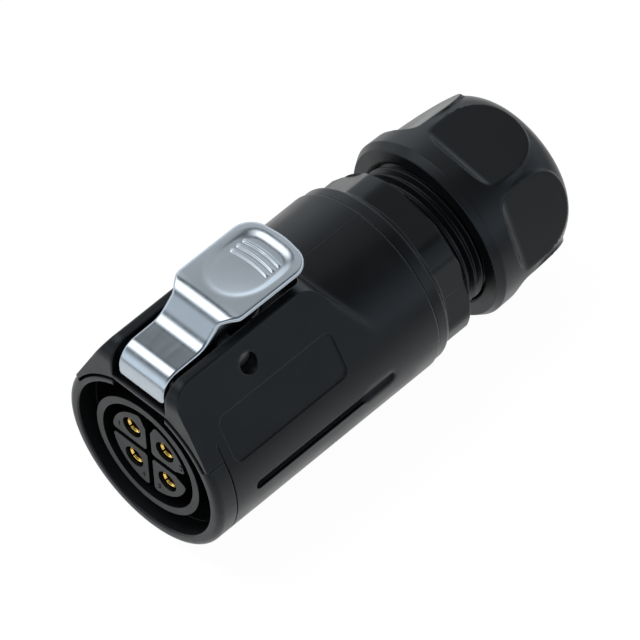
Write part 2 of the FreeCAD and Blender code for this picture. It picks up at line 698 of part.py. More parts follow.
def insert_front():
    ring = tube(INSERT_RING_INNER, INSERT_RADIUS, INSERT_RING_FRONT, INSERT_BASE_FRONT)
    base = turned([
        (0, INSERT_BASE_FRONT, 0),
        (INSERT_RADIUS, INSERT_BASE_FRONT, 0),
        (INSERT_RADIUS, WEB_END, 0),
        (INSERT_FLANGE_RADIUS, WEB_END, 0.2),
        (INSERT_FLANGE_RADIUS, FLANGE_REAR, 0.2),
        (0, FLANGE_REAR, 0),
    ])
    half = INSERT_O_RING_WIDTH / 2 + SEATING
    groove = tube(
        INSERT_RADIUS - INSERT_O_RING_GROOVE, SHELL_RADIUS,
        INSERT_O_RING_STATION - half, INSERT_O_RING_STATION + half,
    )
    solid = ring.fuse([base, towers()]).cut(groove)
    wide = contact_holes(TOWER_HOLE_RADIUS, 0, INSERT_BASE_FRONT)
    narrow = contact_holes(CONTACT_SHANK_RADIUS + SEATING, 0, FLANGE_REAR + 1)
    return solid.cut(wide + narrow).removeSplitter()


def insert_rear():
    body = turned([
        (0, FLANGE_REAR, 0),
        (INSERT_FLANGE_RADIUS, FLANGE_REAR, 0.2),
        (INSERT_FLANGE_RADIUS, REAR_FLANGE_END, 0.2),
        (REAR_INSERT_RADIUS, REAR_FLANGE_END, 0),
        (REAR_INSERT_RADIUS, REAR_INSERT_END, 0.4),
        (0, REAR_INSERT_END, 0),
    ])
    half = BARRIER_THICKNESS / 2
    reach = BARRIER_HALF_WIDTH
    barrier = [
        block(-half, half, REAR_INSERT_END, BARRIER_END, -reach, reach),
        block(-reach, reach, REAR_INSERT_END, BARRIER_END, -half, half),
    ]
    collars = contact_holes(
        CONTACT_COLLAR_RADIUS + SEATING, FLANGE_REAR, FLANGE_REAR + CONTACT_COLLAR_LENGTH
    )
    barrels = contact_holes(BARREL_RADIUS + SEATING, FLANGE_REAR, REAR_INSERT_END + 1)
    return body.fuse(barrier).cut(collars + barrels).removeSplitter()


def insert_retaining_ring():
    ring = tube(REAR_INSERT_RADIUS + SEATING, REAR_BORE_RADIUS - SEATING, REAR_FLANGE_END, RING_END)
    half = RING_SPANNER_WIDTH / 2
    slots = []
    for angle in (0, 90):
        slot = block(
            -BEYOND, BEYOND, RING_END - RING_SPANNER_DEPTH, RING_END + 1, -half, half
        )
        slots.append(turn_about_axis(slot, angle))
    return ring.cut(slots)


def contact():
    """Split socket with its shank and screw barrel, on the plug's axis."""
    shoulder = FLANGE_REAR + CONTACT_COLLAR_LENGTH
    body = turned([
        (0, CONTACT_FRONT, 0),
        (SOCKET_RADIUS, CONTACT_FRONT, 0.2),
        (SOCKET_RADIUS, INSERT_BASE_FRONT, 0),
        (CONTACT_SHANK_RADIUS, INSERT_BASE_FRONT, 0),
        (CONTACT_SHANK_RADIUS, FLANGE_REAR, 0),
        (CONTACT_COLLAR_RADIUS, FLANGE_REAR, 0),
        (CONTACT_COLLAR_RADIUS, shoulder, 0),
        (BARREL_RADIUS, shoulder, 0),
        (BARREL_RADIUS, BARREL_END, 0.2),
        (0, BARREL_END, 0),
    ])
    mouth = Part.makeCone(
        SOCKET_BORE_RADIUS + 0.2, SOCKET_BORE_RADIUS, 0.3, Vector(0, CONTACT_FRONT, 0), AXIS
    )
    bore = rod(SOCKET_BORE_RADIUS, CONTACT_FRONT - 1, CONTACT_FRONT + SOCKET_BORE_DEPTH)
    wire_bore = rod(BARREL_BORE_RADIUS, BARREL_END - BARREL_BORE_DEPTH, BARREL_END + 1)
    half = SOCKET_SLIT_WIDTH / 2
    slit_end = CONTACT_FRONT + SOCKET_SLIT_DEPTH
    slit = block(-half, half, 0, slit_end, -BEYOND, BEYOND)
    screw_hole = Part.makeCylinder(
        SCREW_SHANK_RADIUS + SEATING, BARREL_RADIUS + 1, Vector(0, SCREW_STATION, 0)
    )
    return body.cut([mouth, bore, wire_bore, slit, turn_about_axis(slit, 90), screw_hole])


def terminal_screw():
    """Clamping screw over the barrel's wall, pointing along +Z from the plug's axis."""
    seat = BARREL_RADIUS
    shank = Part.makeCylinder(
        SCREW_SHANK_RADIUS, seat - 0.4, Vector(0, SCREW_STATION, 0.4)
    )
    head = Part.makeCylinder(
        SCREW_HEAD_RADIUS, SCREW_HEAD_HEIGHT, Vector(0, SCREW_STATION, seat)
    )
    half = SCREW_SLOT_WIDTH / 2
    top = seat + SCREW_HEAD_HEIGHT
    slot = block(
        -half, half, SCREW_STATION - 2, SCREW_STATION + 2, top - SCREW_SLOT_DEPTH, top + 1
    )
    return shank.fuse(head).cut(slot).removeSplitter()


def interface_seal():
    """Flat rubber ring at the bottom of the gap that takes the socket's barrel."""
    return turned([
        (WEB_BORE_RADIUS, SLEEVE_END - FACE_SEAL_THICKNESS, 0.3),
        (OPENING_RADIUS - SEATING, SLEEVE_END - FACE_SEAL_THICKNESS, 0.3),
        (OPENING_RADIUS - SEATING, SLEEVE_END + SEATING, 0),
        (WEB_BORE_RADIUS, SLEEVE_END + SEATING, 0),
    ])


def squeezed_ring(inner, outer, station, width):
    """O-ring as it sits in its groove, pressed flat against both walls."""
    rounding = min(outer - inner, width) * 0.35
    half = width / 2
    return turned([
        (inner, station - half, rounding),
        (outer, station - half, rounding),
        (outer, station + half, rounding),
        (inner, station + half, rounding),
    ])


def insert_o_ring():
    return squeezed_ring(
        INSERT_RADIUS - INSERT_O_RING_GROOVE, WEB_BORE_RADIUS,
        INSERT_O_RING_STATION, INSERT_O_RING_WIDTH,
    )


def gland_o_ring():
    return squeezed_ring(
        SPIGOT_RADIUS - GLAND_O_RING_GROOVE, REAR_BORE_RADIUS,
        GLAND_O_RING_STATION, GLAND_O_RING_WIDTH,
    )


def hexagon(start, end):
    """Spanner hexagon with its corners turned down to a circle."""
    corner = HEX_FLAT_DISTANCE / math.cos(math.radians(30))
    corners = []
    for index in range(6):
        turn = math.radians(HEX_TURN + 30 + 60 * index)
        corners.append((corner * math.sin(turn), corner * math.cos(turn), 0))
    prism = front_prism(corners, start, end)
    chamfered = turned([
        (0, start, 0),
        (HEX_CORNER_RADIUS - HEX_CHAMFER, start, 0),
        (HEX_CORNER_RADIUS - HEX_CHAMFER, GLAND_FLANGE_END, 0),
        (HEX_CORNER_RADIUS, GLAND_FLANGE_END + 2 * HEX_CHAMFER, 0),
        (HEX_CORNER_RADIUS, end - HEX_CHAMFER, 0),
        (HEX_CORNER_RADIUS - HEX_CHAMFER, end, 0),
        (0, end, 0),
    ])
    return prism.common(chamfered)


def gland_body():
    """Rear body: spigot in the shell, flange, spanner hexagon and threaded nose."""
    body = turned([
        (0, SPIGOT_START, 0),
        (SPIGOT_RADIUS, SPIGOT_START, 0.6),
        (SPIGOT_RADIUS, SHELL_END, 0),
        (GLAND_FLANGE_RADIUS, SHELL_END, 0.3),
        (GLAND_FLANGE_RADIUS, GLAND_FLANGE_END, 0.5),
        (GLAND_CONE_RADIUS, GLAND_FLANGE_END, 0),
        (THREAD_RADIUS, GLAND_FLANGE_END + GLAND_CONE_LENGTH, 0),
        (THREAD_RADIUS, THREAD_END - THREAD_CHAMFER, 0),
        (THREAD_RADIUS - THREAD_CHAMFER, THREAD_END, 0),
        (0, THREAD_END, 0),
    ])
    half = GLAND_O_RING_WIDTH / 2 + SEATING
    groove = tube(
        SPIGOT_RADIUS - GLAND_O_RING_GROOVE, SHELL_RADIUS,
        GLAND_O_RING_STATION - half, GLAND_O_RING_STATION + half,
    )
    front_bore = rod(GLAND_FRONT_BORE_RADIUS, SPIGOT_START - 1, THREAD_END)
    seal_bore = rod(GLAND_SEAL_BORE_RADIUS, GLAND_SHOULDER, THREAD_END + 1)
    solid = body.fuse(hexagon(GLAND_FLANGE_END - 0.5, HEX_END))
    return solid.cut([groove, front_bore, seal_bore]).removeSplitter()


def clamping_claw():
    """Slotted plastic claw whose fingers the nut's cone presses on to the seal."""
    inner = CLAW_RADIUS - CLAW_WALL
    taper_start = NUT_BORE_END + (NUT_CONE_RADIUS - LOOSE - CLAW_RADIUS) / NUT_CONE_SLOPE
    tip_radius = CLAW_RADIUS - (CLAW_END - taper_start) * NUT_CONE_SLOPE
    shell = turned([
        (inner, CLAW_START, 0),
        (CLAW_RADIUS, CLAW_START, 0.2),
        (CLAW_RADIUS, taper_start, 0),
        (tip_radius, CLAW_END, 0.2),
        (inner, CLAW_END, 0),
    ])
    half = CLAW_SLOT_WIDTH / 2
    slots = []
    for index in range(CLAW_FINGERS):
        slot = block(-half, half, CLAW_RING_END, CLAW_END + 1, 0, BEYOND)
        slots.append(turn_about_axis(slot, 360 / CLAW_FINGERS * index))
    return shell.cut(slots)


def cable_seal():
    """Rubber sleeve inside the claw, bored for the cable."""
    outer = CLAW_RADIUS - CLAW_WALL
    return turned([
        (CABLE_RADIUS, SEAL_START, 0.4),
        (CLAW_RADIUS, SEAL_START, 0.3),
        (CLAW_RADIUS, CLAW_START, 0),
        (outer, CLAW_START, 0),
        (outer, SEAL_END, 0.3),
        (CABLE_RADIUS, SEAL_END, 0.4),
    ])


def nut_outside():
    """Domed outer form of the nut as a full solid."""
    return turned([
        (0, NUT_FRONT, 0),
        (NUT_FACE_OUTER_RADIUS, NUT_FRONT, 0),
        (NUT_RIM_RADIUS, NUT_RIM_STATION, 0),
        (NUT_SHOULDER_RADIUS, NUT_SHOULDER_STATION, NUT_SHOULDER_ROUNDING),
        (NUT_END_RADIUS, NUT_END, NUT_END_ROUNDING),
        (0, NUT_END, 0),
    ])


def nut_flat():
    """Cutter for the flat at the top: it falls to the rear, and curves out ahead of its start."""
    rise = NUT_RIM_RADIUS + 0.5 - NUT_FLAT_DISTANCE
    run = math.sqrt(NUT_FLAT_RUNOUT_RADIUS ** 2 - (NUT_FLAT_RUNOUT_RADIUS - rise) ** 2)
    half_turn = math.acos((NUT_FLAT_RUNOUT_RADIUS - rise) / NUT_FLAT_RUNOUT_RADIUS) / 2
    length = NUT_END + 1 - NUT_FLAT_START
    fall = length * math.tan(math.radians(NUT_FLAT_TILT))
    start = on_side(NUT_FLAT_START, NUT_FLAT_DISTANCE)
    middle = on_side(
        NUT_FLAT_START - NUT_FLAT_RUNOUT_RADIUS * math.sin(half_turn),
        NUT_FLAT_DISTANCE + NUT_FLAT_RUNOUT_RADIUS * (1 - math.cos(half_turn)),
    )
    out = on_side(NUT_FLAT_START - run, NUT_FLAT_DISTANCE + rise)
    rear_high = on_side(NUT_END + 1, NUT_FLAT_DISTANCE + rise)
    rear_low = on_side(NUT_END + 1, NUT_FLAT_DISTANCE - fall)
    edges = [
        Part.Arc(start, middle, out).toShape(),
        Part.makeLine(out, rear_high),
        Part.makeLine(rear_high, rear_low),
        Part.makeLine(rear_low, start),
    ]
    face = Part.Face(Part.Wire(edges))
    face.translate(Vector(-SHELL_RADIUS, 0, 0))
    return face.extrude(Vector(2 * SHELL_RADIUS, 0, 0))


def gland_nut():
    """Domed cap nut with six flats, a front recess and an inner cone for the claw."""
    hollow = turned([
        (0, NUT_FRONT - 1, 0),
        (NUT_FACE_INNER_RADIUS + 1, NUT_FRONT - 1, 0),
        (NUT_BORE_RADIUS, NUT_FRONT + NUT_FACE_INNER_RADIUS - NUT_BORE_RADIUS, 0),
        (NUT_BORE_RADIUS, NUT_BORE_END, 0),
        (NUT_CONE_RADIUS, NUT_BORE_END, 0),
        (NUT_EXIT_RADIUS + NUT_LIP, NUT_END - NUT_LIP, 0),
        (NUT_EXIT_RADIUS, NUT_END - NUT_LIP, 0.3),
        (NUT_EXIT_RADIUS, NUT_END + 1, 0),
        (0, NUT_END + 1, 0),
    ])
    flats = []
    for index in range(NUT_FLAT_COUNT):
        flats.append(turn_about_axis(nut_flat(), NUT_TURN + 360 / NUT_FLAT_COUNT * index))
    return nut_outside().cut(flats + [hollow]).removeSplitter()


def build():
    """Every piece of the plug by node name."""
    pieces = {
        "outer_shell": outer_shell(),
        "front_collar": front_collar(),
        "interface_seal": interface_seal(),
        "insert_front": insert_front(),
        "insert_o_ring": insert_o_ring(),
        "insert_rear": insert_rear(),
        "insert_retaining_ring": insert_retaining_ring(),
        "latch_lever": latch_lever(),
        "latch_pivot_pin": latch_pivot_pin(),
        "latch_spring": latch_spring(),
        "gland_body": gland_body(),
        "gland_o_ring": gland_o_ring(),
        "clamping_claw": clamping_claw(),
        "cable_seal": cable_seal(),
        "gland_nut": gland_nut(),
    }
    for number, (angle, place) in enumerate(contact_places(), start=1):
        pieces[f"contact_{number}"] = turn_about_axis(contact(), angle).translated(place)
        pieces[f"terminal_screw_{number}"] = turn_about_axis(terminal_screw(), angle).translated(place)
    return pieces


def main():
    os.makedirs("parts", exist_ok=True)
    for name, shape in build().items():
        shape.exportStep(f"parts/{name}.step")
        print(f"{name}: {len(shape.Solids)} solid, {shape.Volume:.1f} mm3, valid {shape.isValid()}")


main()
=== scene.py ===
import json
import math

import bmesh
import bpy
import numpy as np
from mathutils import Matrix, Vector


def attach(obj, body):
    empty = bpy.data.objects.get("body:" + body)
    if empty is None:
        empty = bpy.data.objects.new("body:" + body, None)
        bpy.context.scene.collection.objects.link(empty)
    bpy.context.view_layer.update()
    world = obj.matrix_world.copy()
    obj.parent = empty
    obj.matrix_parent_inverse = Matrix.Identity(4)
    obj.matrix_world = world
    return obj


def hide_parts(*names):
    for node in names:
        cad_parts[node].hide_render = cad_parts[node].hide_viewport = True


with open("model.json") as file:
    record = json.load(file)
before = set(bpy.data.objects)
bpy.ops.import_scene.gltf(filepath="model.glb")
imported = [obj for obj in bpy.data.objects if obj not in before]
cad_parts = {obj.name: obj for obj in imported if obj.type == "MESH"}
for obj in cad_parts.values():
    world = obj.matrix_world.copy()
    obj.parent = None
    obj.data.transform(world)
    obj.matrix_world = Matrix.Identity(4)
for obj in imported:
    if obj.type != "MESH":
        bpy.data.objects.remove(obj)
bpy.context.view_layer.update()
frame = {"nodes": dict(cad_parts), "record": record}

# Circular cable plug: looks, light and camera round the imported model.
# Shapes are worked out in millimetres in the frame's own axes and put into meshes in metres.
# "Station" is a distance along Y. Angles about the axis start at +Z and turn towards +X.
MM = 0.001

# Latch lever: corners of its top in side view (station, height, bend radius)
LATCH_SIDE = [
    (0.65, 14.65, 0),
    (0.65, 19.62, 3.4),
    (8.76, 19.83, 3.8),
    (12.536, 23.28, 3.8),
    (29.15, 23.12, 0),
]
# Distance along that line by which its first bend is over, so that stations only grow
FIRST_BEND_OVER = 8
SIDE_POINTS, BEND_POINTS = 3000, 60
LATCH_THICKNESS, LATCH_EDGE = 1.1, 0.48

# Latch's outline: half widths, and the stations and corner radii where they change
NECK_HALF_WIDTH, PAD_HALF_WIDTH = 4.5, 6.3
TIP_CORNER = 0.9
NECK_END, NECK_FLARE = 11.6, 2.0
PAD_FRONT, PAD_FRONT_CORNER = 14.3, 2.6
PAD_SHOULDER, PAD_SHOULDER_CORNER = 28.25, 3.5
PAD_REAR_CORNER = 11.0
# Spine that its faces are drawn in to: how far it stays from the plate's front and rear
SPINE_FROM_FRONT, SPINE_FROM_REAR = 3.2, 4.5
# Points round the outline, and rows of them on the face, on the underside and round an edge
OUTLINE_POINTS, FACE_ROWS, UNDER_ROWS, EDGE_ROWS = 720, 46, 14, 7
# Extra points beside the ribs and at the pad's shoulder: share added, and how near
RIB_EXTRA, RIB_NEAR = 1.4, 3.2
SHOULDER_EXTRA, SHOULDER_NEAR = 1.0, 1.5

# Pad's face: dish with an outline of two powers, share of its level floor towards the rear,
# and the fall of the face to its sides and its rear
DISH_STATION, DISH_HALF_LENGTH, DISH_HALF_WIDTH = 21.4, 6.6, 5.3
DISH_POWER_AHEAD, DISH_POWER_BEHIND = 2.1, 3.7
DISH_DEPTH, DISH_WALL, BOWL_WALL = 0.42, 0.27, 0.2
LEVEL_SHARE, LEVEL_REACH = 0.8, 1.7
PILLOW_FALL, PILLOW_REACH = 0.13, 1.2
# The relief comes in from this far ahead of the pad's front, over this length
RELIEF_LEAD, RELIEF_LENGTH = 1.2, 1.6
RIB_STATIONS = (22.7, 23.9, 25.1)
RIB_HALF_WIDTH, RIB_HALF_LENGTH, RIB_HEIGHT = 0.26, 3.7, 0.16
RIB_BOW, RIB_END_LENGTH = 0.035, 0.5
# Half widths from a rib's line at which its side has run out
RIB_SKIRT = 1.5

# Latch's lugs, tooth and stop post, with outlines as (station, height, corner radius)
PIVOT_STATION, PIVOT_HEIGHT, PIN_HOLE = 13.3, 16.15, 1.56
LUG_INNER, LUG_THICKNESS, LUG_RADIUS, LUG_EDGE = 2.9, 1.5, 2.6, 0.12
LUG_OUTLINE = [
    (PIVOT_STATION - LUG_RADIUS - 1.3, 22.0, 0.3),
    (PIVOT_STATION + LUG_RADIUS + 2.0, 22.6, 0.3),
    (PIVOT_STATION + LUG_RADIUS, PIVOT_HEIGHT - LUG_RADIUS, LUG_RADIUS * 0.96),
    (PIVOT_STATION - LUG_RADIUS, PIVOT_HEIGHT - LUG_RADIUS, LUG_RADIUS * 0.96),
]
LUG_POINTS = 72
# Share of the plate's thickness that a lug reaches into it
LUG_REACH = 0.6
TOOTH_SIDE = [
    (5.6, 12.0, 0.3),
    (4.4, 13.2, 0.3),
    (4.4, 19.2, 0),
    (6.8, 19.2, 0),
    (6.8, 12.0, 0.3),
]
TOOTH_HALF_WIDTH, TOOTH_EDGE = 3.6, 0.15
POST_STATION, POST_RADIUS, POST_LOW, POST_HIGH = 20.0, 1.2, 15.5, 22.6
POST_FOOT_CORNER, POST_POINTS = 0.25, 48

# Gland body: sleeve in the shell with its seal groove, flange, spanner hexagon and bores
GLAND_FRONT, SLEEVE_RADIUS, SLEEVE_CORNER = 33.0, 12.7, 0.6
GROOVE_FRONT, GROOVE_REAR, GROOVE_RADIUS = 40.35, 42.05, 11.8
FLANGE_FRONT, FLANGE_END, FLANGE_RADIUS, FLANGE_CORNER = 43.6, 45.8, 14.75, 0.15
HEX_TURN, HEX_FLAT, HEX_CORNER, HEX_BEVEL, HEX_END = 15.0, 13.0, 14.1, 0.6, 51.2
GLAND_BORE, NOSE_BORE, NOSE_BORE_START = 7.5, 9.2, 55.0
# Cone from the hexagon up to the flange, and the widths of the round turns at the
# hexagon's corners, at the cone's foot and at its top
CONE_RADIUS, CONE_LENGTH = 14.4, 2.06
CORNER_TURN, CONE_FOOT_TURN, CONE_TOP_TURN = 0.16, 0.3, 0.5
# The hexagon shapes the profile beyond this radius and this far behind the flange's front
HEX_FROM_RADIUS, HEX_FROM_FLANGE = 13.4, 0.2
GLAND_COLUMNS, GLAND_STATIONS, GLAND_STEP = 192, 50, 0.4

# Thread on the gland body's nose, with what it takes to come in and to run out
THREAD_CREST, THREAD_ROOT, THREAD_PITCH = 11.5, 10.62, 1.5
THREAD_FIRST_CREST, THREAD_END = 52.4, 66.0
THREAD_GAP, THREAD_RUN_IN, THREAD_RUN_OUT = 0.1, 0.8, 0.6
# Share of the pitch from a crest, and share of the full height there
THREAD_FORM = [
    (0, 1), (0.05, 1), (0.068, 0.975), (0.088, 0.91), (0.2, 0.55), (0.335, 0.11),
    (0.36, 0.05), (0.39, 0.01), (0.43, 0), (0.57, 0), (0.61, 0.01), (0.64, 0.05),
    (0.665, 0.11), (0.8, 0.55), (0.912, 0.91), (0.932, 0.975), (0.95, 1),
]

# Gland nut: front rim, shoulder, dome, bore and cable opening
NUT_FRONT, NUT_FACE_RADIUS, NUT_MOUTH_RADIUS = 55.75, 14.1, 12.0
NUT_COLLAR, NUT_COLLAR_RADIUS, NUT_SHOULDER_RADIUS = 57.0, 14.86, 14.72
NUT_FACE_CORNER, NUT_COLLAR_CORNER, NUT_END_CORNER = 0.2, 0.3, 0.3
DOME_START, DOME_REACH, DOME_DROP, DOME_POWER = 62.5, 12.1, 7.0, 2.5
NUT_END, CABLE_OPENING = 74.4, 7.4
BORE_START, BORE_END, BORE_RADIUS = 56.19, 70.0, 11.56
CLAW_CONE_END, CLAW_CONE_RADII = 73.4, (9.5, 8.4)
# The flats shape the profile beyond the first radius, and behind the bore beyond the second
OUTSIDE_BORE, OUTSIDE_CONE, BEHIND_BORE = 11.9, 9.6, 70.5
NUT_COLUMNS, DOME_STATIONS, NUT_STEP, NUT_CORNER_POINTS = 360, 40, 0.22, 10
# Its flats, and the raised edge that they get towards the rear
NUT_TURN = 9.3
NUT_FLAT, NUT_FLAT_START, NUT_FLAT_TILT, NUT_RUNOUT = 13.26, 62.1, 3.2, 2.5
LIP_RISE, LIP_FALL, LIP_WALL = 0.10, 0.30, 0.22
LIP_START, LIP_FULL = 62.0, 67.0
LIP_TURN = 0.12

# Numbers on the insert's towers: text, place across and height; then their own sizes
CONTACT_NUMBERS = (("1", -5.9, 1.9), ("2", 6.3, 2.2), ("3", 1.5, -5.9), ("4", -1.6, -5.7))
NUMBER_STATION, NUMBER_SIZE, NUMBER_RELIEF = 1.14, 1.35, 0.06

# Edges that turn by more than these degrees stay crisp
LATCH_CRISP, GLAND_CRISP, NUT_CRISP = 40, 42, 50
ROUNDED_FROM, ROUNDING_SEGMENTS = 30, 3
# Points nearer than this become one
WELD = 0.002

# Moulded finishes: colour, colour of the painted highlight on edges, roughness from and to,
# width and depth of the grain
NYLON = {
    "colour": (0.0076, 0.0079, 0.0087),
    "painted_edge_highlight": (0.016, 0.017, 0.019),
    "rough": (0.27, 0.38),
    "grain": (0.22, 0.004),
}
PALE_NYLON = {**NYLON, "colour": (0.016, 0.0165, 0.0175)}
# Nylon whose edges get a brighter painted highlight
HIGHLIGHT_EDGED_NYLON = {**NYLON, "painted_edge_highlight": (0.06, 0.062, 0.066)}
INSERT_PLASTIC = {
    "colour": (0.0055, 0.0057, 0.0062),
    "painted_edge_highlight": (0.02, 0.02, 0.022),
    "rough": (0.32, 0.42),
    "grain": (0.2, 0.003),
}
NYLON_EDGE, COLLAR_EDGE, INSERT_EDGE = 0.2, 0.35, 0.12
PLASTIC_GLOSS, PLASTIC_SHEEN = 0.26, (0.84, 0.92, 1.0)
# Patches of tone and gloss, and streaks along the axis: their sizes and shares
PATCH_SIZE, PATCH_LIFT = 9.0, 1.2
STREAK_SIZE, STREAK_STRETCH, STREAK_SHARE = 2.2, (1, 0.35, 1), 0.12
# An edge gets the painted highlight where the rounded normal's cosine is in this span, by this share
HIGHLIGHT_COSINES, HIGHLIGHT_SHARE = (0.90, 1.0), 0.6
RIDGE_HEIGHT, GROOVE_DEPTH = 0.03, 0.08
# Colour of the painted shade in the joint between collar and shell
PAINTED_JOINT_SHADE = (0.0005, 0.0005, 0.0005)

# Platings: colour, roughness from and to, depth of the ripple
CHROME = (0.47, 0.52, 0.57), (0.18, 0.25), 0.005
STEEL = (0.36, 0.36, 0.36), (0.3, 0.45), 0.005
GOLD = (1.0, 0.68, 0.18), (0.12, 0.22), 0.002
METAL_EDGE, METAL_PATCH, METAL_FALL = 0.1, 4.0, 0.95
HAIRLINE_SIZE, HAIRLINE_STRETCH, RIPPLE_SIZE = 1.2, (1, 0.15, 1), 2.6

# Rubber: two tones, roughness from and to, size of its patches, width and depth of its grain
RUBBER_TONES = (0.035, 0.035, 0.037), (0.055, 0.055, 0.058)
RUBBER_ROUGH, RUBBER_PATCH, RUBBER_GRAIN, RUBBER_EDGE = (0.62, 0.78), 3.0, (0.25, 0.006), 0.1

# Shell's rounding: spans of height and station over which it grows round the latch's window
# and goes, its radii there, and the spans and radius of the crown's soft foot
WINDOW_HEIGHTS, WINDOW_STATIONS, WINDOW_ROUNDING = (13.5, 15.0), (12.0, 16.0), (0.22, 0.6)
FOOT_START, FOOT_END, FOOT_ROUNDING = (28.0, 29.5), (38.0, 40.0), 1.6

# Fine lines: half width and the share of it that is full, then the spans over which each
# line comes in or ends
LINE_CORE = 0.4
TOP_LINE, TOP_LINE_STATIONS, TOP_LINE_HEIGHTS = 0.09, (27.0, 27.2), (5.0, 6.0)
# The collar's line is the joint that gets painted shade
COLLAR_LENGTH, COLLAR_LINE, COLLAR_LINE_HEIGHTS = 3.4, 0.16, (9.6, 10.2)
HEX_LINE_TURN, HEX_LINE_WIDTHS = 74.4, (0.03, 0.09)
HEX_LINE_ACROSS, HEX_LINE_STATIONS = (5.0, 6.0), (HEX_END, HEX_END + 0.1)

# Room, by the sine of a ray's height: where gloss loses the white backdrop, and the
# ceiling's grey from its lower to its upper end
BACKDROP_FADE = (0.28, 0.70)
CEILING_FADE, CEILING_GREY = (0.15, 0.85), (0.60, 0.15)
CEILING_TINT = (0.88, 0.95, 1.0)
# What gloss sees of the backdrop, which a camera only records as white
BACKDROP_GLOW = (1.15, 1.24, 1.32)
# Table: half its size, its height, its glow and its own grey
TABLE_HALF_SIZE, TABLE_HEIGHT = 1500.0, -15.2
TABLE_GLOW, TABLE_GREY = 0.965, 0.10
# Middle of the table's bright pool, distances from it over which gloss loses its white, and
# what is left of it
TABLE_POOL, TABLE_FADE, TABLE_REST = (-70, 20), (100, 230), 0.4

# Lamps: name, direction, distance, width and height in metres, and glow, where 1 is white
KEY_DIRECTION = (-0.476, -0.19, 0.86)
REAR_DIRECTION = (-0.427, 0.532, 0.731)
SOFT_BOXES = [
    ("key_softbox", KEY_DIRECTION, 0.5, 0.36, 0.50, 0.9),
    ("key_core", KEY_DIRECTION, 0.49, 0.24, 0.30, 1.7),
    ("rear_softbox", REAR_DIRECTION, 0.39, 0.17, 0.44, 0.52),
]
LAMP_AIM = (0, 35, 10)

# Camera, fitted to the photograph: angles in degrees, then millimetres
CAMERA_AZIMUTH, CAMERA_ELEVATION, CAMERA_ROLL = 47.613, 50.472, 3.700
CAMERA_AIM, CAMERA_DISTANCE = (0.843, 33.954, 0.792), 1213.16
LENS_LENGTH, SENSOR_WIDTH = 486.71, 36.0

# A colour Mix node's two inputs and its output, which share their names with other types
MIX_FIRST, MIX_SECOND, MIX_RESULT = 6, 7, 2


# Shape helpers

def unit(vector):
    return vector / np.linalg.norm(vector)


def rounded_path(corners, closed, steps=12):
    """Straight runs between (u, v, radius) corners. At a corner with a radius, an arc of that
    radius touches both runs: its centre lies on the corner's bisector."""
    points = []
    count = len(corners)
    for index, (u, v, radius) in enumerate(corners):
        here = np.array([u, v], float)
        inside = closed or 0 < index < count - 1
        if radius == 0 or not inside:
            points.append(here[None])
            continue
        back = unit(np.array(corners[index - 1][:2]) - here)
        ahead = unit(np.array(corners[(index + 1) % count][:2]) - here)
        half = math.acos(np.clip(back @ ahead, -1, 1)) / 2
        centre = here + unit(back + ahead) * radius / math.sin(half)
        start = here + back * radius / math.tan(half) - centre
        end = here + ahead * radius / math.tan(half) - centre
        first = math.atan2(start[1], start[0])
        sweep = math.atan2(end[1], end[0]) - first
        sweep = (sweep + math.pi) % (2 * math.pi) - math.pi
        turn = first + sweep * np.linspace(0, 1, steps)
        points.append(centre + radius * np.stack([np.cos(turn), np.sin(turn)], -1))
    return np.vstack(points)


def run_length(points):
    """Distance along a line of points, starting at 0."""
    return np.r_[0, np.cumsum(np.linalg.norm(np.diff(points, axis=0), axis=1))]


def on_line(places, along, line):
    """Points of a line at the given values of what is counted along it."""
    return np.stack([np.interp(places, along, line[:, axis]) for axis in (0, 1)], -1)


def directions(steps):
    """Unit vectors of a line's steps."""
    return steps / np.linalg.norm(steps, axis=1)[:, None]


def spread(points, count, weight=None):
    """Closed line with count points, evenly spaced along its length times the weight."""
    loop = np.vstack([points, points[:1]])
    length = run_length(loop)
    fine = np.linspace(0, length[-1], 20 * count)
    line = on_line(fine, length, loop)
    share = np.ones(len(line)) if weight is None else weight(line)
    passed = np.r_[0, np.cumsum((share[1:] + share[:-1]) / 2 * np.diff(fine))]
    return on_line(np.linspace(0, passed[-1], count, endpoint=False), passed, line)


def smooth_step(value):
    """0 below 0, 1 above 1, and 3 v^2 - 2 v^3 between."""
    value = np.clip(value, 0, 1)
    return value * value * (3 - 2 * value)


def soft_least(a, b, width):
    """The smaller of two values, with a round turn of the given width where they meet."""
    near = np.clip(0.5 + 0.5 * (b - a) / width, 0, 1)
    return b * (1 - near) + a * near - width * near * (1 - near)


def soft_most(a, b, width):
    """The larger of two values, with a round turn of the given width where they meet."""
    return -soft_least(-a, -b, width)


# Mesh helpers

def weld_and_turn_out(made):
    """Near points become one and faces point outwards."""
    work = bmesh.new()
    work.from_mesh(made.data)
    bmesh.ops.remove_doubles(work, verts=work.verts, dist=WELD * MM)
    bmesh.ops.dissolve_degenerate(work, edges=work.edges, dist=WELD * MM / 10)
    bmesh.ops.recalc_face_normals(work, faces=work.faces)
    work.to_mesh(made.data)
    work.free()
    made.data.shade_smooth()


def placed(name, data):
    """Object with its data, linked into the scene."""
    made = bpy.data.objects.new(name, data)
    bpy.context.scene.collection.objects.link(made)
    return made


def mesh_object(name, points, faces):
    """Object from points in millimetres."""
    mesh = bpy.data.meshes.new(name)
    mesh.from_pydata((np.asarray(points) * MM).tolist(), [], faces)
    mesh.validate()
    made = placed(name, mesh)
    weld_and_turn_out(made)
    return made


def grid_faces(rows, columns, wrap_rows, wrap_columns):
    """Quads between the rows and columns of a grid of points, closed round where asked."""
    row = np.arange(rows if wrap_rows else rows - 1)
    column = np.arange(columns if wrap_columns else columns - 1)
    i, j = np.meshgrid(row, column, indexing="ij")
    down, right = (i + 1) % rows, (j + 1) % columns
    corners = [i * columns + j, down * columns + j, down * columns + right, i * columns + right]
    return np.stack(corners, -1).reshape(-1, 4).tolist()


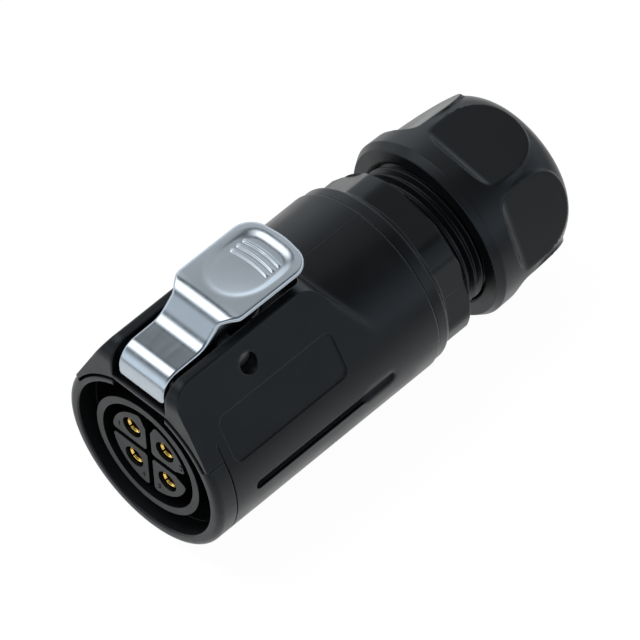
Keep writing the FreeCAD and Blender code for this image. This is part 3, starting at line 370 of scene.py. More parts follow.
def grid_object(name, *grids):
    """One object from grids, each given with whether its rows and its columns close round."""
    points, faces = [], []
    for grid, wrap_rows, wrap_columns in grids:
        rows, columns = grid.shape[:2]
        first = sum(len(p) for p in points)
        faces += (np.array(grid_faces(rows, columns, wrap_rows, wrap_columns)) + first).tolist()
        points.append(grid.reshape(-1, 3))
    return mesh_object(name, np.vstack(points), faces)


def sharp_by_angle(made, degrees):
    """Edges that turn by more than this stay crisp."""
    made.data.set_sharp_from_angle(angle=math.radians(degrees))


def round_edges(made, width):
    """Crisp edges get a round of the given width."""
    bevel = made.modifiers.new("rounded", "BEVEL")
    bevel.width = width * MM
    bevel.segments = ROUNDING_SEGMENTS
    bevel.limit_method = "ANGLE"
    bevel.angle_limit = math.radians(ROUNDED_FROM)


def join(name, parts):
    """One object from several, with their modifiers applied."""
    graph = bpy.context.evaluated_depsgraph_get()
    work = bmesh.new()
    for part in parts:
        finished = part.evaluated_get(graph)
        mesh = bpy.data.meshes.new_from_object(finished)
        work.from_mesh(mesh)
        bpy.data.meshes.remove(mesh)
        bpy.data.objects.remove(part)
    mesh = bpy.data.meshes.new(name)
    work.to_mesh(mesh)
    work.free()
    mesh.shade_smooth()
    return placed(name, mesh)


# Latch

def latch_line():
    """Top of the latch in side view with its outward normals, by distance along it."""
    line = rounded_path(LATCH_SIDE, False, BEND_POINTS)
    length = run_length(line)
    fine = np.linspace(0, length[-1], SIDE_POINTS)
    line = on_line(fine, length, line)
    way = directions(np.gradient(line, axis=0))
    return fine, line, np.stack([-way[:, 1], way[:, 0]], -1)


def latch_relief(across, station):
    """Height of the pad's face over its plain level. The face falls off softly to its sides,
    by the fourth power of the share of the way out. The dish is a superellipse, rounder in
    front and squarer behind. In front it is a bowl, 1 minus the square of the way out from
    its middle, and towards the rear more and more a level floor with a soft wall. Across it
    run raised ribs, each a low round bar along a bow."""
    power = np.where(station < DISH_STATION, DISH_POWER_AHEAD, DISH_POWER_BEHIND)
    along = (station - DISH_STATION) / DISH_HALF_LENGTH
    reach = (np.abs(across / DISH_HALF_WIDTH) ** power + np.abs(along) ** power) ** (1 / power)
    inside = np.clip(1 - reach, 0, 1)
    level = LEVEL_SHARE * smooth_step((along + 1) / LEVEL_REACH)
    bowl = (1 - reach ** 2).clip(0, 1) * smooth_step(inside / BOWL_WALL)
    height = -DISH_DEPTH * ((1 - level) * bowl + level * smooth_step(inside / DISH_WALL))
    to_side = across / PAD_HALF_WIDTH
    to_rear = np.clip(along / PILLOW_REACH, 0, 1)
    height = height - PILLOW_FALL * (to_side ** 4 + to_rear ** 4)
    for rib in RIB_STATIONS:
        off_line = np.abs(station - rib + RIB_BOW * across ** 2) / RIB_HALF_WIDTH
        end = smooth_step((RIB_HALF_LENGTH - np.abs(across)) / RIB_END_LENGTH)
        height = height + RIB_HEIGHT * end * smooth_step(RIB_SKIRT - off_line)
    return height


def latch_plate_grid():
    """Plate pressed from sheet: its outline, laid out flat along the bent line, is drawn in
    towards a spine for the faces, and follows a quarter circle round each edge. Every point
    (distance along, across, height) then goes to the bent line plus height times its normal."""
    fine, line, outward = latch_line()
    past_bend = fine > FIRST_BEND_OVER

    def laid(station):
        """Distance along the bent line at a station."""
        return float(np.interp(station, line[past_bend, 0], fine[past_bend]))

    def closeness(points):
        """How close the outline's points stand: closer beside the ribs and at the shoulder."""
        by_ribs = np.abs(points[:, 0] - laid(RIB_STATIONS[1])) < RIB_NEAR
        by_shoulder = np.abs(points[:, 0] - laid(PAD_SHOULDER)) < SHOULDER_NEAR
        return 1 + RIB_EXTRA * by_ribs + SHOULDER_EXTRA * by_shoulder

    side = [
        (0, NECK_HALF_WIDTH, TIP_CORNER),
        (laid(NECK_END), NECK_HALF_WIDTH, NECK_FLARE),
        (laid(PAD_FRONT), PAD_HALF_WIDTH, PAD_FRONT_CORNER),
        (laid(PAD_SHOULDER), PAD_HALF_WIDTH, PAD_SHOULDER_CORNER),
    ]
    corners = [(0, 0, 0)] + side + [(fine[-1], 0, PAD_REAR_CORNER)]
    corners += [(u, -v, radius) for u, v, radius in side[::-1]]
    edge = spread(rounded_path(corners, True, 40), OUTLINE_POINTS, closeness)
    way = directions(np.roll(edge, -1, axis=0) - np.roll(edge, 1, axis=0))
    inward = np.stack([way[:, 1], -way[:, 0]], -1)
    spine_along = np.clip(edge[:, 0], SPINE_FROM_FRONT, fine[-1] - SPINE_FROM_REAR)
    spine = np.stack([spine_along, np.zeros(len(edge))], -1)
    rim = edge + LATCH_EDGE * inward
    quarter = np.linspace(0, math.pi / 2, EDGE_ROWS)

    # Rows from the spine out over the face, round the edge, and back in underneath
    layers = []
    for share in np.linspace(0, 1, FACE_ROWS)[:-1]:
        layers.append((spine + share * (rim - spine), 0, 1))
    for turn in quarter:
        flat = edge + LATCH_EDGE * (1 - math.sin(turn)) * inward
        layers.append((flat, -LATCH_EDGE * (1 - math.cos(turn)), 1))
    for turn in quarter[::-1]:
        flat = edge + LATCH_EDGE * (1 - math.sin(turn)) * inward
        layers.append((flat, -LATCH_THICKNESS + LATCH_EDGE * (1 - math.cos(turn)), 0))
    for share in np.linspace(1, 0, UNDER_ROWS)[1:]:
        layers.append((spine + share * (rim - spine), -LATCH_THICKNESS, 0))

    rows = []
    for flat, height, on_face in layers:
        foot = on_line(flat[:, 0], fine, line)
        normal = on_line(flat[:, 0], fine, outward)
        on_pad = smooth_step((foot[:, 0] - PAD_FRONT + RELIEF_LEAD) / RELIEF_LENGTH)
        relief = latch_relief(flat[:, 1], foot[:, 0]) * on_pad * on_face
        side_view = foot + normal * (height + relief)[:, None]
        rows.append(np.stack([flat[:, 1], side_view[:, 0], side_view[:, 1]], -1))
    return np.stack(rows)


def latch_tooth():
    """Plate between two X values with the tooth's side view, its edges rounded off."""
    outline = rounded_path(TOOTH_SIDE, True, 5)
    count = len(outline)
    sides = [np.c_[np.full(count, x), outline] for x in (-TOOTH_HALF_WIDTH, TOOTH_HALF_WIDTH)]
    faces = [list(range(count)), list(range(2 * count - 1, count - 1, -1))]
    made = mesh_object("latch_tooth", np.vstack(sides), faces + grid_faces(2, count, False, True))
    round_edges(made, TOOTH_EDGE)
    return made


def under_latch(station):
    """Height a little inside the plate's underside at a station."""
    fine, line, outward = latch_line()
    below = (line - outward * (LATCH_THICKNESS * LUG_REACH))[fine > FIRST_BEND_OVER]
    return np.interp(station, below[:, 0], below[:, 1])


def latch_lug(left):
    """Ear with the pivot hole: a ring of quads between the ear's outline and the hole, whose
    points lie at the same angles round the pivot."""
    outline = spread(rounded_path(LUG_OUTLINE, True), LUG_POINTS)
    outline[:, 1] = np.minimum(outline[:, 1], under_latch(outline[:, 0]))
    centre = np.array([PIVOT_STATION, PIVOT_HEIGHT])
    around = np.arctan2(outline[:, 1] - centre[1], outline[:, 0] - centre[0])
    hole = centre + PIN_HOLE * np.stack([np.cos(around), np.sin(around)], -1)
    right = left + LUG_THICKNESS
    rings = []
    for x, ring in ((left, hole), (left, outline), (right, outline), (right, hole)):
        rings.append(np.c_[np.full(len(ring), x), ring])
    made = grid_object("latch_lug", (np.stack(rings), True, True))
    round_edges(made, LUG_EDGE)
    return made


def latch_post():
    """Stop post under the pad: a turned pin with a rounded foot, whose points lie at its
    profile's radius and height, all the way round."""
    profile = rounded_path([
        (0, POST_LOW, 0),
        (POST_RADIUS, POST_LOW, POST_FOOT_CORNER),
        (POST_RADIUS, POST_HIGH, 0),
        (0, POST_HIGH, 0),
    ], False)
    turn = np.linspace(0, 2 * math.pi, POST_POINTS, endpoint=False)
    radius, height = profile[:, :1], profile[:, 1:]
    across, station = radius * np.cos(turn), POST_STATION + radius * np.sin(turn)
    grid = np.stack(np.broadcast_arrays(across, station, height), -1)
    return grid_object("latch_post", (grid, False, True))


def latch():
    plate = grid_object("latch_plate", (latch_plate_grid(), False, True))
    tooth = latch_tooth()
    lugs = [latch_lug(left) for left in (LUG_INNER, -LUG_INNER - LUG_THICKNESS)]
    made = join("push_latch", [plate, tooth, latch_post()] + lugs)
    sharp_by_angle(made, LATCH_CRISP)
    return made


# Turned pieces

def turned_grid(profile, angles, shape):
    """Points (r sin A, station, r cos A) for a profile of (station, r). shape changes r as a
    function of r, station and angle on the outside."""
    station, angle = np.meshgrid(profile[:, 0], angles, indexing="ij")
    radius = shape(np.repeat(profile[:, 1:], len(angles), 1), station, angle)
    return np.stack([radius * np.sin(angle), station, radius * np.cos(angle)], -1)


def fill_profile(corners, step, steps=7, closed=True):
    """Rounded profile with no run longer than step."""
    line = rounded_path(corners, closed, steps)
    if closed:
        line = np.vstack([line, line[:1]])
    length = run_length(line)
    runs = [(a, b) for a, b in zip(length, length[1:]) if b > a]
    places = [np.linspace(a, b, int((b - a) / step) + 2)[:-1] for a, b in runs]
    return on_line(np.concatenate(places if closed else places + [length[-1:]]), length, line)


def from_flat(angle, turn):
    """Angle from the middle of the nearest of six equal flats."""
    pitch = math.pi / 3
    off = angle - math.radians(turn)
    return off - pitch * np.round(off / pitch)


def hexagon_shape(radius, station, angle):
    """The flat's distance over the cosine of the angle from it, never more than the corner
    circle and its rear bevel. A cone leads up from the flats to the flange, with round turns
    at both its ends."""
    cone = CONE_RADIUS - (station - FLANGE_END) / CONE_LENGTH * (CONE_RADIUS - THREAD_CREST)
    circle = HEX_CORNER - np.clip(HEX_BEVEL - (HEX_END - station), 0, None)
    hexagon = soft_least(HEX_FLAT / np.cos(from_flat(angle, HEX_TURN)), circle, CORNER_TURN)
    outside = soft_least(FLANGE_RADIUS, soft_most(hexagon, cone, CONE_FOOT_TURN), CONE_TOP_TURN)
    shaped = (radius > HEX_FROM_RADIUS) & (station > FLANGE_FRONT + HEX_FROM_FLANGE)
    return np.where(shaped, outside, radius)


def thread_grid():
    """Right-hand thread: rows of points follow the helix, on which the station grows by the
    pitch for each turn of the angle. Each pitch has the thread's form in rows. Rows stop at the
    thread's two ends, where the form runs out into the root."""
    share, height = np.array(THREAD_FORM, float).T
    turns = np.arange(-2, (THREAD_END - HEX_END) / THREAD_PITCH + 2)
    along = (turns[:, None] + share).ravel()[:, None]
    angle = np.linspace(0, 2 * math.pi, GLAND_COLUMNS + 1)[None]
    station = THREAD_FIRST_CREST + THREAD_PITCH * (along + angle / (2 * math.pi))
    station = np.clip(station, HEX_END, THREAD_END)
    come_in = smooth_step((station - HEX_END - THREAD_GAP) / THREAD_RUN_IN)
    run_out = smooth_step((THREAD_END - station) / THREAD_RUN_OUT)
    full = np.tile(height, len(turns))[:, None]
    radius = THREAD_ROOT + (THREAD_CREST - THREAD_ROOT) * full * (come_in * run_out)
    return np.stack([radius * np.sin(angle), station, radius * np.cos(angle)], -1)


def gland_body():
    """Turned body: its bores, its front, the groove, the flange and, by hexagon_shape, the
    hexagon. The thread closes it at its rear."""
    rear = np.linspace(FLANGE_FRONT + HEX_FROM_FLANGE, HEX_END - WELD, GLAND_STATIONS)
    corners = [
        (THREAD_END, THREAD_ROOT, 0),
        (THREAD_END, NOSE_BORE, 0),
        (NOSE_BORE_START, NOSE_BORE, 0),
        (NOSE_BORE_START, GLAND_BORE, 0),
        (GLAND_FRONT, GLAND_BORE, 0),
        (GLAND_FRONT, SLEEVE_RADIUS, SLEEVE_CORNER),
        (GROOVE_FRONT, SLEEVE_RADIUS, 0),
        (GROOVE_FRONT, GROOVE_RADIUS, 0),
        (GROOVE_REAR, GROOVE_RADIUS, 0),
        (GROOVE_REAR, SLEEVE_RADIUS, 0),
        (FLANGE_FRONT, SLEEVE_RADIUS, 0),
        (FLANGE_FRONT, FLANGE_RADIUS, FLANGE_CORNER),
        *[(station, FLANGE_RADIUS, 0) for station in rear],
        (HEX_END, THREAD_ROOT, 0),
    ]
    angles = np.linspace(0, 2 * math.pi, GLAND_COLUMNS, endpoint=False)
    profile = fill_profile(corners, GLAND_STEP, closed=False)
    body = turned_grid(profile, angles, hexagon_shape)
    made = grid_object("gland_body_threaded", (body, False, True), (thread_grid(), False, False))
    sharp_by_angle(made, GLAND_CRISP)
    return made


def nut_shape(radius, station, angle):
    """Flats: the flat's distance over the cosine of the angle from it. The distance falls by
    a slant towards the rear and runs out along an arc in front. Towards the rear the flats
    stand out as pads: past a flat's edge the dome drops by a soft wall."""
    ahead = np.clip(NUT_FLAT_START - station, 0, NUT_RUNOUT)
    rise = NUT_RUNOUT - np.sqrt(NUT_RUNOUT ** 2 - ahead ** 2)
    fall = np.clip(station - NUT_FLAT_START, 0, None) * math.tan(math.radians(NUT_FLAT_TILT))
    flat = (NUT_FLAT + rise - fall) / np.cos(from_flat(angle, NUT_TURN))
    lip = smooth_step((station - LIP_START) / (LIP_FULL - LIP_START))
    past_edge = smooth_step((flat - radius) / LIP_WALL)
    dome = radius + lip * (LIP_RISE - (LIP_RISE + LIP_FALL) * past_edge)
    outside = (radius > OUTSIDE_BORE) | ((radius > OUTSIDE_CONE) & (station > BEHIND_BORE))
    return np.where(outside, soft_least(dome, flat, LIP_TURN), radius)


def dome_radius(station):
    """Dome behind the shoulder: a superellipse quarter. Its radius falls by the drop times
    1 - (1 - share^p)^(1/p), where share is how much of the reach is behind it."""
    share = np.clip((station - DOME_START) / DOME_REACH, 0, 1)
    return NUT_SHOULDER_RADIUS - DOME_DROP * (1 - (1 - share ** DOME_POWER) ** (1 / DOME_POWER))


def gland_nut():
    """Turned nut: its mouth, rim, shoulder and dome, the cable opening, the cone that closes
    the claw and the bore, with the flats by nut_shape."""
    bend = np.sin(np.linspace(0, math.pi / 2, DOME_STATIONS))
    stations = DOME_START + (NUT_END - DOME_START) * bend
    corners = [
        (NUT_FRONT, NUT_MOUTH_RADIUS, 0),
        (NUT_FRONT, NUT_FACE_RADIUS, NUT_FACE_CORNER),
        (NUT_COLLAR, NUT_COLLAR_RADIUS, NUT_COLLAR_CORNER),
        *[(station, dome_radius(station), 0) for station in stations],
        (NUT_END, CABLE_OPENING, NUT_END_CORNER),
        (CLAW_CONE_END, CABLE_OPENING, 0),
        (CLAW_CONE_END, CLAW_CONE_RADII[1], 0),
        (BORE_END, CLAW_CONE_RADII[0], 0),
        (BORE_END, BORE_RADIUS, 0),
        (BORE_START, BORE_RADIUS, 0),
    ]
    angles = np.linspace(0, 2 * math.pi, NUT_COLUMNS, endpoint=False)
    profile = fill_profile(corners, NUT_STEP, NUT_CORNER_POINTS)
    made = grid_object("gland_nut_domed", (turned_grid(profile, angles, nut_shape), True, True))
    sharp_by_angle(made, NUT_CRISP)
    return made


# Small marks

def contact_number(text, across, height):
    """Raised plain number on a tower's face, read from the front with the latch up."""
    curve = bpy.data.curves.new("number", "FONT")
    curve.body = text
    curve.size = NUMBER_SIZE * MM
    curve.extrude = NUMBER_RELIEF * MM
    curve.align_x = "CENTER"
    curve.align_y = "CENTER"
    source = placed("number", curve)
    bpy.context.view_layer.update()
    graph = bpy.context.evaluated_depsgraph_get()
    mesh = bpy.data.meshes.new_from_object(source.evaluated_get(graph))
    bpy.data.objects.remove(source)
    upright = Matrix.Rotation(math.radians(90), 4, "X")
    mesh.transform(Matrix.Translation(Vector((across, NUMBER_STATION, height)) * MM) @ upright)
    return placed(f"contact_number_{text}", mesh)


# Materials

class Finish:
    """Node material on Object coordinates, with short calls for the nodes that it needs."""

    def __init__(self, name, metallic=0.0):
        self.material = bpy.data.materials.new(name)
        self.material.use_nodes = True
        self.tree = self.material.node_tree
        self.shader = self.tree.nodes["Principled BSDF"]
        self.shader.inputs["Metallic"].default_value = metallic
        self.place = self.tree.nodes.new("ShaderNodeTexCoord").outputs["Object"]

    def node(self, kind, **values):
        made = self.tree.nodes.new("ShaderNode" + kind)
        for key, value in values.items():
            setattr(made, key, value)
        return made

    def link(self, out, into):
        self.tree.links.new(out, into)

    def noise(self, size_mm, detail=3.0, stretch=None):
        """Noise whose grains are about size_mm across, drawn out along an axis if asked."""
        place = self.place
        if stretch:
            mapping = self.node("Mapping")
            mapping.inputs["Scale"].default_value = stretch
            self.link(place, mapping.inputs["Vector"])
            place = mapping.outputs["Vector"]
        made = self.node("TexNoise")
        made.inputs["Scale"].default_value = 1000 / size_mm
        made.inputs["Detail"].default_value = detail
        self.link(place, made.inputs["Vector"])
        return made.outputs["Fac"]

    def between(self, value, low, high, from_low=0.3, from_high=0.7):
        """Value carried from one range, by default that of most noise, to another."""
        made = self.node("MapRange")
        made.inputs["From Min"].default_value = from_low
        made.inputs["From Max"].default_value = from_high
        made.inputs["To Min"].default_value = low
        made.inputs["To Max"].default_value = high
        self.link(value, made.inputs["Value"])
        return made.outputs["Result"]

    def mix(self, share, first, second):
        """Colour that goes by a share from the first, a colour or a socket, to the second."""
        made = self.node("Mix", data_type="RGBA")
        if isinstance(first, tuple):
            made.inputs[MIX_FIRST].default_value = (*first, 1)
        else:
            self.link(first, made.inputs[MIX_FIRST])
        made.inputs[MIX_SECOND].default_value = (*second, 1)
        self.link(share, made.inputs[0])
        return made.outputs[MIX_RESULT]

    def bump(self, height, depth_mm, under=None):
        """Normal of a relief, on top of another normal if given."""
        made = self.node("Bump")
        made.inputs["Strength"].default_value = 1.0
        made.inputs["Distance"].default_value = depth_mm * MM
        self.link(height, made.inputs["Height"])
        if under:
            self.link(under, made.inputs["Normal"])
        return made.outputs["Normal"]

    def soft_edges(self, radius):
        """Normal rounded at edges, by a radius in millimetres or by one from another node."""
        made = self.node("Bevel", samples=8)
        if isinstance(radius, float):
            made.inputs["Radius"].default_value = radius * MM
        else:
            self.link(radius, made.inputs["Radius"])
        return made.outputs["Normal"]

    def axis(self, letter):
        """Place along one axis, in metres."""
        made = self.node("SeparateXYZ")
        self.link(self.place, made.inputs[0])
        return made.outputs[letter]

    def maths(self, operation, first, second):
        made = self.node("Math", operation=operation)
        for index, value in enumerate((first, second)):
            if isinstance(value, (int, float)):
                made.inputs[index].default_value = value
            else:
                self.link(value, made.inputs[index])
        return made.outputs[0]

    def past(self, letter, span_mm):
        """Share that grows from 0 to 1 over a span of one axis."""
        return self.between(self.axis(letter), 0, 1, span_mm[0] * MM, span_mm[1] * MM)

    def before(self, letter, span_mm):
        """Share that falls from 1 to 0 over a span of one axis."""
        return self.between(self.axis(letter), 1, 0, span_mm[0] * MM, span_mm[1] * MM)

    def near_line(self, off, widths_mm):
        """Share that falls from 1 to 0 over a span of widths on both sides of a line."""
        off = self.maths("ABSOLUTE", off, 0)
        return self.between(off, 1, 0, widths_mm[0] * MM, widths_mm[1] * MM)

    def line_at(self, letter, station_mm, half_width_mm):
        """Share that is 1 on a thin line where one axis has the given value."""
        off = self.maths("SUBTRACT", self.axis(letter), station_mm * MM)
        return self.near_line(off, (LINE_CORE * half_width_mm, half_width_mm))

    def edge_share(self, soft, cosines):
        """How far the rounded normal turns from the true one: 0 on faces, 1 on edges."""
        geometry = self.node("NewGeometry")
        dot = self.node("VectorMath", operation="DOT_PRODUCT")
        self.link(soft, dot.inputs[0])
        self.link(geometry.outputs["Normal"], dot.inputs[1])
        return self.between(dot.outputs["Value"], 1, 0, *cosines)

    def finished(self, colour, roughness, normal):
        """The material, with its three sockets linked."""
        for socket, value in (("Base Color", colour), ("Roughness", roughness), ("Normal", normal)):
            self.link(value, self.shader.inputs[socket])
        return self.material


def scaled(colour, share):
    return tuple(c * share for c in colour)


def moulded(name, look, edge, ridge=None, groove=None):
    """Moulded plastic: fine grain, patchy gloss, softened edges lightened by a painted highlight.
    edge is a radius or gives one for each place. The last two arguments may give shares that are 1
    on parting lines, which stand a little proud, and in sunk joints darkened by painted shade."""
    finish = Finish(name)
    finish.shader.inputs["Specular IOR Level"].default_value = PLASTIC_GLOSS
    finish.shader.inputs["Specular Tint"].default_value = (*PLASTIC_SHEEN, 1)
    soft = finish.soft_edges(edge(finish) if callable(edge) else edge)
    at_edge = finish.edge_share(soft, HIGHLIGHT_COSINES)
    patch = finish.noise(PATCH_SIZE, 2.0)
    tone = finish.mix(finish.between(patch, 0, 1), look["colour"], scaled(look["colour"], PATCH_LIFT))
    # Painted highlight: edges are lightened where the rounded normal turns from the true one
    tone = finish.mix(finish.between(at_edge, 0, HIGHLIGHT_SHARE, 0, 1), tone, look["painted_edge_highlight"])
    streak = finish.noise(STREAK_SIZE, 4.0, STREAK_STRETCH)
    gloss = finish.maths("ADD", patch, finish.between(streak, -STREAK_SHARE, STREAK_SHARE))
    gloss = finish.between(gloss, *look["rough"])
    grain_size, grain_depth = look["grain"]
    relief = finish.bump(finish.noise(grain_size, 4.0), grain_depth, soft)
    if ridge:
        relief = finish.bump(ridge(finish), RIDGE_HEIGHT, relief)
    if groove:
        share = groove(finish)
        # Painted shade darkens the joint
        tone = finish.mix(share, tone, PAINTED_JOINT_SHADE)
        gloss = finish.maths("MAXIMUM", gloss, share)
        relief = finish.bump(finish.maths("MULTIPLY", share, -1), GROOVE_DEPTH, relief)
    return finish.finished(tone, gloss, relief)


def shell_rounding(finish):
    """Larger rounding round the latch's window and at the crown's front, and a soft foot
    where the crown's rear runs into the barrel, in metres."""
    high, front = finish.past("Z", WINDOW_HEIGHTS), finish.before("Y", WINDOW_STATIONS)
    low_radius, high_radius = WINDOW_ROUNDING
    by_window = finish.maths("MULTIPLY", high, front)
    window = finish.between(by_window, low_radius * MM, high_radius * MM, 0, 1)
    at_foot = finish.maths("MULTIPLY", finish.past("Y", FOOT_START), finish.before("Y", FOOT_END))
    foot = finish.between(at_foot, 0, FOOT_ROUNDING * MM, 0, 1)
    return finish.maths("MAXIMUM", window, foot)


def shell_lines(finish):
    """Parting line along the top behind the latch."""
    line = finish.line_at("X", 0.0, TOP_LINE)
    behind, above = finish.past("Y", TOP_LINE_STATIONS), finish.past("Z", TOP_LINE_HEIGHTS)
    return finish.maths("MULTIPLY", line, finish.maths("MULTIPLY", behind, above))


def shaded_collar_joint(finish):
    """Joint between collar and shell, below the crown, sunk in relief and darkened with painted shade.
    """
    line = finish.line_at("Y", COLLAR_LENGTH, COLLAR_LINE)
    return finish.maths("MULTIPLY", line, finish.before("Z", COLLAR_LINE_HEIGHTS))


def gland_lines(finish):
    """Parting line across one side of the hexagon, where x is z times the tangent of the
    line's angle about the axis."""
    turn = math.radians(HEX_LINE_TURN)
    along_x = finish.maths("MULTIPLY", finish.axis("X"), math.cos(turn))
    along_z = finish.maths("MULTIPLY", finish.axis("Z"), math.sin(turn))
    line = finish.near_line(finish.maths("SUBTRACT", along_x, along_z), HEX_LINE_WIDTHS)
    hexagon, right = finish.before("Y", HEX_LINE_STATIONS), finish.past("X", HEX_LINE_ACROSS)
    return finish.maths("MULTIPLY", line, finish.maths("MULTIPLY", hexagon, right))


def plated(name, colour, rough, ripple_depth):
    """Polished plating: patchy tone, a faint ripple of the casting, fine hairline marks."""
    finish = Finish(name, metallic=1.0)
    patch = finish.noise(METAL_PATCH)
    tone = finish.mix(finish.between(patch, 0, 1), colour, scaled(colour, METAL_FALL))
    gloss = finish.between(finish.noise(HAIRLINE_SIZE, 5.0, HAIRLINE_STRETCH), *rough)
    soft = finish.soft_edges(METAL_EDGE)
    return finish.finished(tone, gloss, finish.bump(finish.noise(RIPPLE_SIZE, 2.0), ripple_depth, soft))


def rubber(name):
    """Matt rubber in soft patches, with a fine grain."""
    finish = Finish(name)
    patch = finish.noise(RUBBER_PATCH)
    tone = finish.mix(finish.between(patch, 0, 1), *RUBBER_TONES)
    gloss = finish.between(patch, *RUBBER_ROUGH)
    grain_size, grain_depth = RUBBER_GRAIN
    relief = finish.bump(finish.noise(grain_size), grain_depth, finish.soft_edges(RUBBER_EDGE))
    return finish.finished(tone, gloss, relief)


def dress(materials):
    """Every carried-over node gets its own finish, or that of its slot in the record."""
    for part in frame["record"]["subparts"]:
        node = frame["nodes"][part["node"]]
        finish = materials.get(part["node"], materials[part["material_slot"]])
        for slot in node.material_slots:
            slot.material = finish
        if not node.material_slots:
            node.data.materials.append(finish)


# Light, ground and camera

def soft_box(name, direction, distance, width, height, glow):
    """Area lamp that faces the plug from a direction, its width as near along Y as it can
    lie, with sizes in metres. Its power is its glow times pi and its area."""
    lamp = bpy.data.lights.new(name, "AREA")
    lamp.shape = "RECTANGLE"
    lamp.size, lamp.size_y = width, height
    lamp.energy = glow * math.pi * width * height
    towards = Vector(direction).normalized()
    along = (Vector((0, 1, 0)) - towards * towards.y).normalized()
    turned = Matrix((along, towards.cross(along), towards)).transposed().to_4x4()
    place = Vector(LAMP_AIM) * MM + towards * distance
    placed(name, lamp).matrix_world = Matrix.Translation(place) @ turned


def combined(tree, operation, first, second):
    """Socket with two others joined by a sum, product or the like."""
    made = tree.nodes.new("ShaderNodeMath")
    made.operation = operation
    tree.links.new(first, made.inputs[0])
    tree.links.new(second, made.inputs[1])
    return made.outputs[0]


def smooth_range(tree, value, span, at_ends):
    """Socket that goes softly between two values while another passes a span."""
    made = tree.nodes.new("ShaderNodeMapRange")
    made.interpolation_type = "SMOOTHSTEP"
    for socket, number in zip(("From Min", "From Max", "To Min", "To Max"), (*span, *at_ends)):
        made.inputs[socket].default_value = number
    tree.links.new(value, made.inputs["Value"])
    return made.outputs["Result"]


def surroundings():
    """White backdrop round the table, which gloss shows too up to a height where the room's
    grey ceiling begins; the ceiling's grey falls off upwards."""
    world = bpy.data.worlds.new("room")
    bpy.context.scene.world = world
    world.use_nodes = True
    tree = world.node_tree
    tree.nodes.clear()
    place = tree.nodes.new("ShaderNodeTexCoord")
    axes = tree.nodes.new("ShaderNodeSeparateXYZ")
    tree.links.new(place.outputs["Generated"], axes.inputs[0])
    height = axes.outputs["Z"]
    ray = tree.nodes.new("ShaderNodeLightPath").outputs

    in_gloss = combined(tree, "MAXIMUM", ray["Is Glossy Ray"], ray["Is Transmission Ray"])
    backdrop = combined(tree, "MULTIPLY", in_gloss, smooth_range(tree, height, BACKDROP_FADE, (1, 0)))
    seen = combined(tree, "MAXIMUM", ray["Is Camera Ray"], backdrop)

    ceiling = tree.nodes.new("ShaderNodeBackground")
    ceiling.inputs["Color"].default_value = (*CEILING_TINT, 1)
    grey = smooth_range(tree, height, CEILING_FADE, CEILING_GREY)
    tree.links.new(grey, ceiling.inputs["Strength"])

    recorded = tree.nodes.new("ShaderNodeMix")
    recorded.data_type = "RGBA"
    recorded.inputs[MIX_FIRST].default_value = (*BACKDROP_GLOW, 1)
    recorded.inputs[MIX_SECOND].default_value = (1, 1, 1, 1)
    tree.links.new(ray["Is Camera Ray"], recorded.inputs[0])
    white = tree.nodes.new("ShaderNodeBackground")
    white.inputs["Strength"].default_value = 1.0
    tree.links.new(recorded.outputs[MIX_RESULT], white.inputs["Color"])

    choice = tree.nodes.new("ShaderNodeMixShader")
    for index, value in enumerate((seen, ceiling.outputs[0], white.outputs[0])):
        tree.links.new(value, choice.inputs[index])
    out = tree.nodes.new("ShaderNodeOutputWorld")
    tree.links.new(choice.outputs[0], out.inputs["Surface"])


def ground():
    """Pale table under the plug. To the camera and in gloss it adds a plain white glow, so
    that only a faint shadow shows. In gloss the glow fades away from a pool."""
    size, low = TABLE_HALF_SIZE, TABLE_HEIGHT
    corners = [(-size, -size, low), (size, -size, low), (size, size, low), (-size, size, low)]
    made = mesh_object("ground", corners, [[0, 1, 2, 3]])
    material = bpy.data.materials.new("ground_white")
    material.use_nodes = True
    tree = material.node_tree
    tree.nodes.clear()
    place = tree.nodes.new("ShaderNodeTexCoord")
    away = tree.nodes.new("ShaderNodeVectorMath")
    away.operation = "DISTANCE"
    away.inputs[1].default_value = Vector((*TABLE_POOL, low)) * MM
    tree.links.new(place.outputs["Object"], away.inputs[0])
    span = (TABLE_FADE[0] * MM, TABLE_FADE[1] * MM)
    fade = smooth_range(tree, away.outputs["Value"], span, (1.0, TABLE_REST))

    ray = tree.nodes.new("ShaderNodeLightPath").outputs
    in_gloss = combined(tree, "MAXIMUM", ray["Is Glossy Ray"], ray["Is Transmission Ray"])
    faded = combined(tree, "MULTIPLY", in_gloss, fade)
    seen = combined(tree, "MAXIMUM", faded, ray["Is Camera Ray"])
    glow = tree.nodes.new("ShaderNodeEmission")
    glow.inputs["Color"].default_value = (TABLE_GLOW, TABLE_GLOW, TABLE_GLOW, 1)
    tree.links.new(seen, glow.inputs["Strength"])
    matt = tree.nodes.new("ShaderNodeBsdfDiffuse")
    matt.inputs["Color"].default_value = (TABLE_GREY, TABLE_GREY, TABLE_GREY, 1)
    both = tree.nodes.new("ShaderNodeAddShader")
    tree.links.new(glow.outputs[0], both.inputs[0])
    tree.links.new(matt.outputs[0], both.inputs[1])
    out = tree.nodes.new("ShaderNodeOutputMaterial")
    tree.links.new(both.outputs[0], out.inputs["Surface"])
    made.data.materials.append(material)


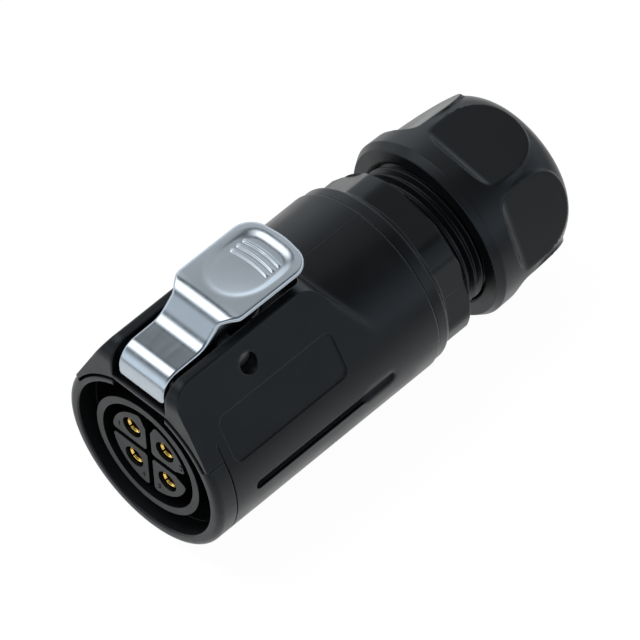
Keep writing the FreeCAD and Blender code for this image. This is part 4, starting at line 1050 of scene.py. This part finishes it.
def photo_camera():
    """Camera at the photograph's place: far away, with a long lens. Its back is the direction
    from the aim to it, its right is level before the roll."""
    degrees = (CAMERA_AZIMUTH, CAMERA_ELEVATION, CAMERA_ROLL)
    azimuth, elevation, roll = (math.radians(angle) for angle in degrees)
    level = math.cos(elevation)
    back = Vector((math.sin(azimuth) * level, -math.cos(azimuth) * level, math.sin(elevation)))
    right = Vector((math.cos(azimuth), math.sin(azimuth), 0))
    up = back.cross(right)
    turned_right = right * math.cos(roll) - up * math.sin(roll)
    turned_up = right * math.sin(roll) + up * math.cos(roll)
    lens = bpy.data.cameras.new("photo_camera")
    lens.sensor_width = SENSOR_WIDTH
    lens.lens = LENS_LENGTH
    lens.clip_end = 20.0
    made = placed("photo_camera", lens)
    turned = Matrix((turned_right, turned_up, back)).transposed().to_4x4()
    place = Vector(CAMERA_AIM) * MM + back * (CAMERA_DISTANCE * MM)
    made.matrix_world = Matrix.Translation(place) @ turned
    bpy.context.scene.camera = made


def main():
    materials = {
        "black_nylon": moulded("black_nylon", NYLON, NYLON_EDGE),
        "outer_shell": moulded("shell_nylon", NYLON, shell_rounding, shell_lines, shaded_collar_joint),
        "front_collar": moulded("collar_nylon", PALE_NYLON, COLLAR_EDGE, None, shaded_collar_joint),
        "gland_body": moulded("gland_nylon", HIGHLIGHT_EDGED_NYLON, NYLON_EDGE, gland_lines),
        "insert_plastic": moulded("insert_plastic", INSERT_PLASTIC, INSERT_EDGE),
        "chromed_zinc": plated("chromed_zinc", *CHROME),
        "steel": plated("steel", *STEEL),
        "black_rubber": rubber("black_rubber"),
        "gold_plated_brass": plated("gold_plated_brass", *GOLD),
    }
    dress(materials)

    lever = latch()
    lever.data.materials.append(materials["chromed_zinc"])
    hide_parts("latch_lever")
    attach(lever, "latch")

    gland = gland_body()
    gland.data.materials.append(materials["gland_body"])
    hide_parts("gland_body")
    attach(gland, "housing")

    nut = gland_nut()
    nut.data.materials.append(materials["black_nylon"])
    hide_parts("gland_nut")
    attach(nut, "nut")

    for text, across, height in CONTACT_NUMBERS:
        number = contact_number(text, across, height)
        number.data.materials.append(materials["insert_plastic"])
        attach(number, "housing")

    surroundings()
    ground()
    for box in SOFT_BOXES:
        soft_box(*box)
    photo_camera()
    bpy.context.scene.view_settings.view_transform = "Standard"


main()
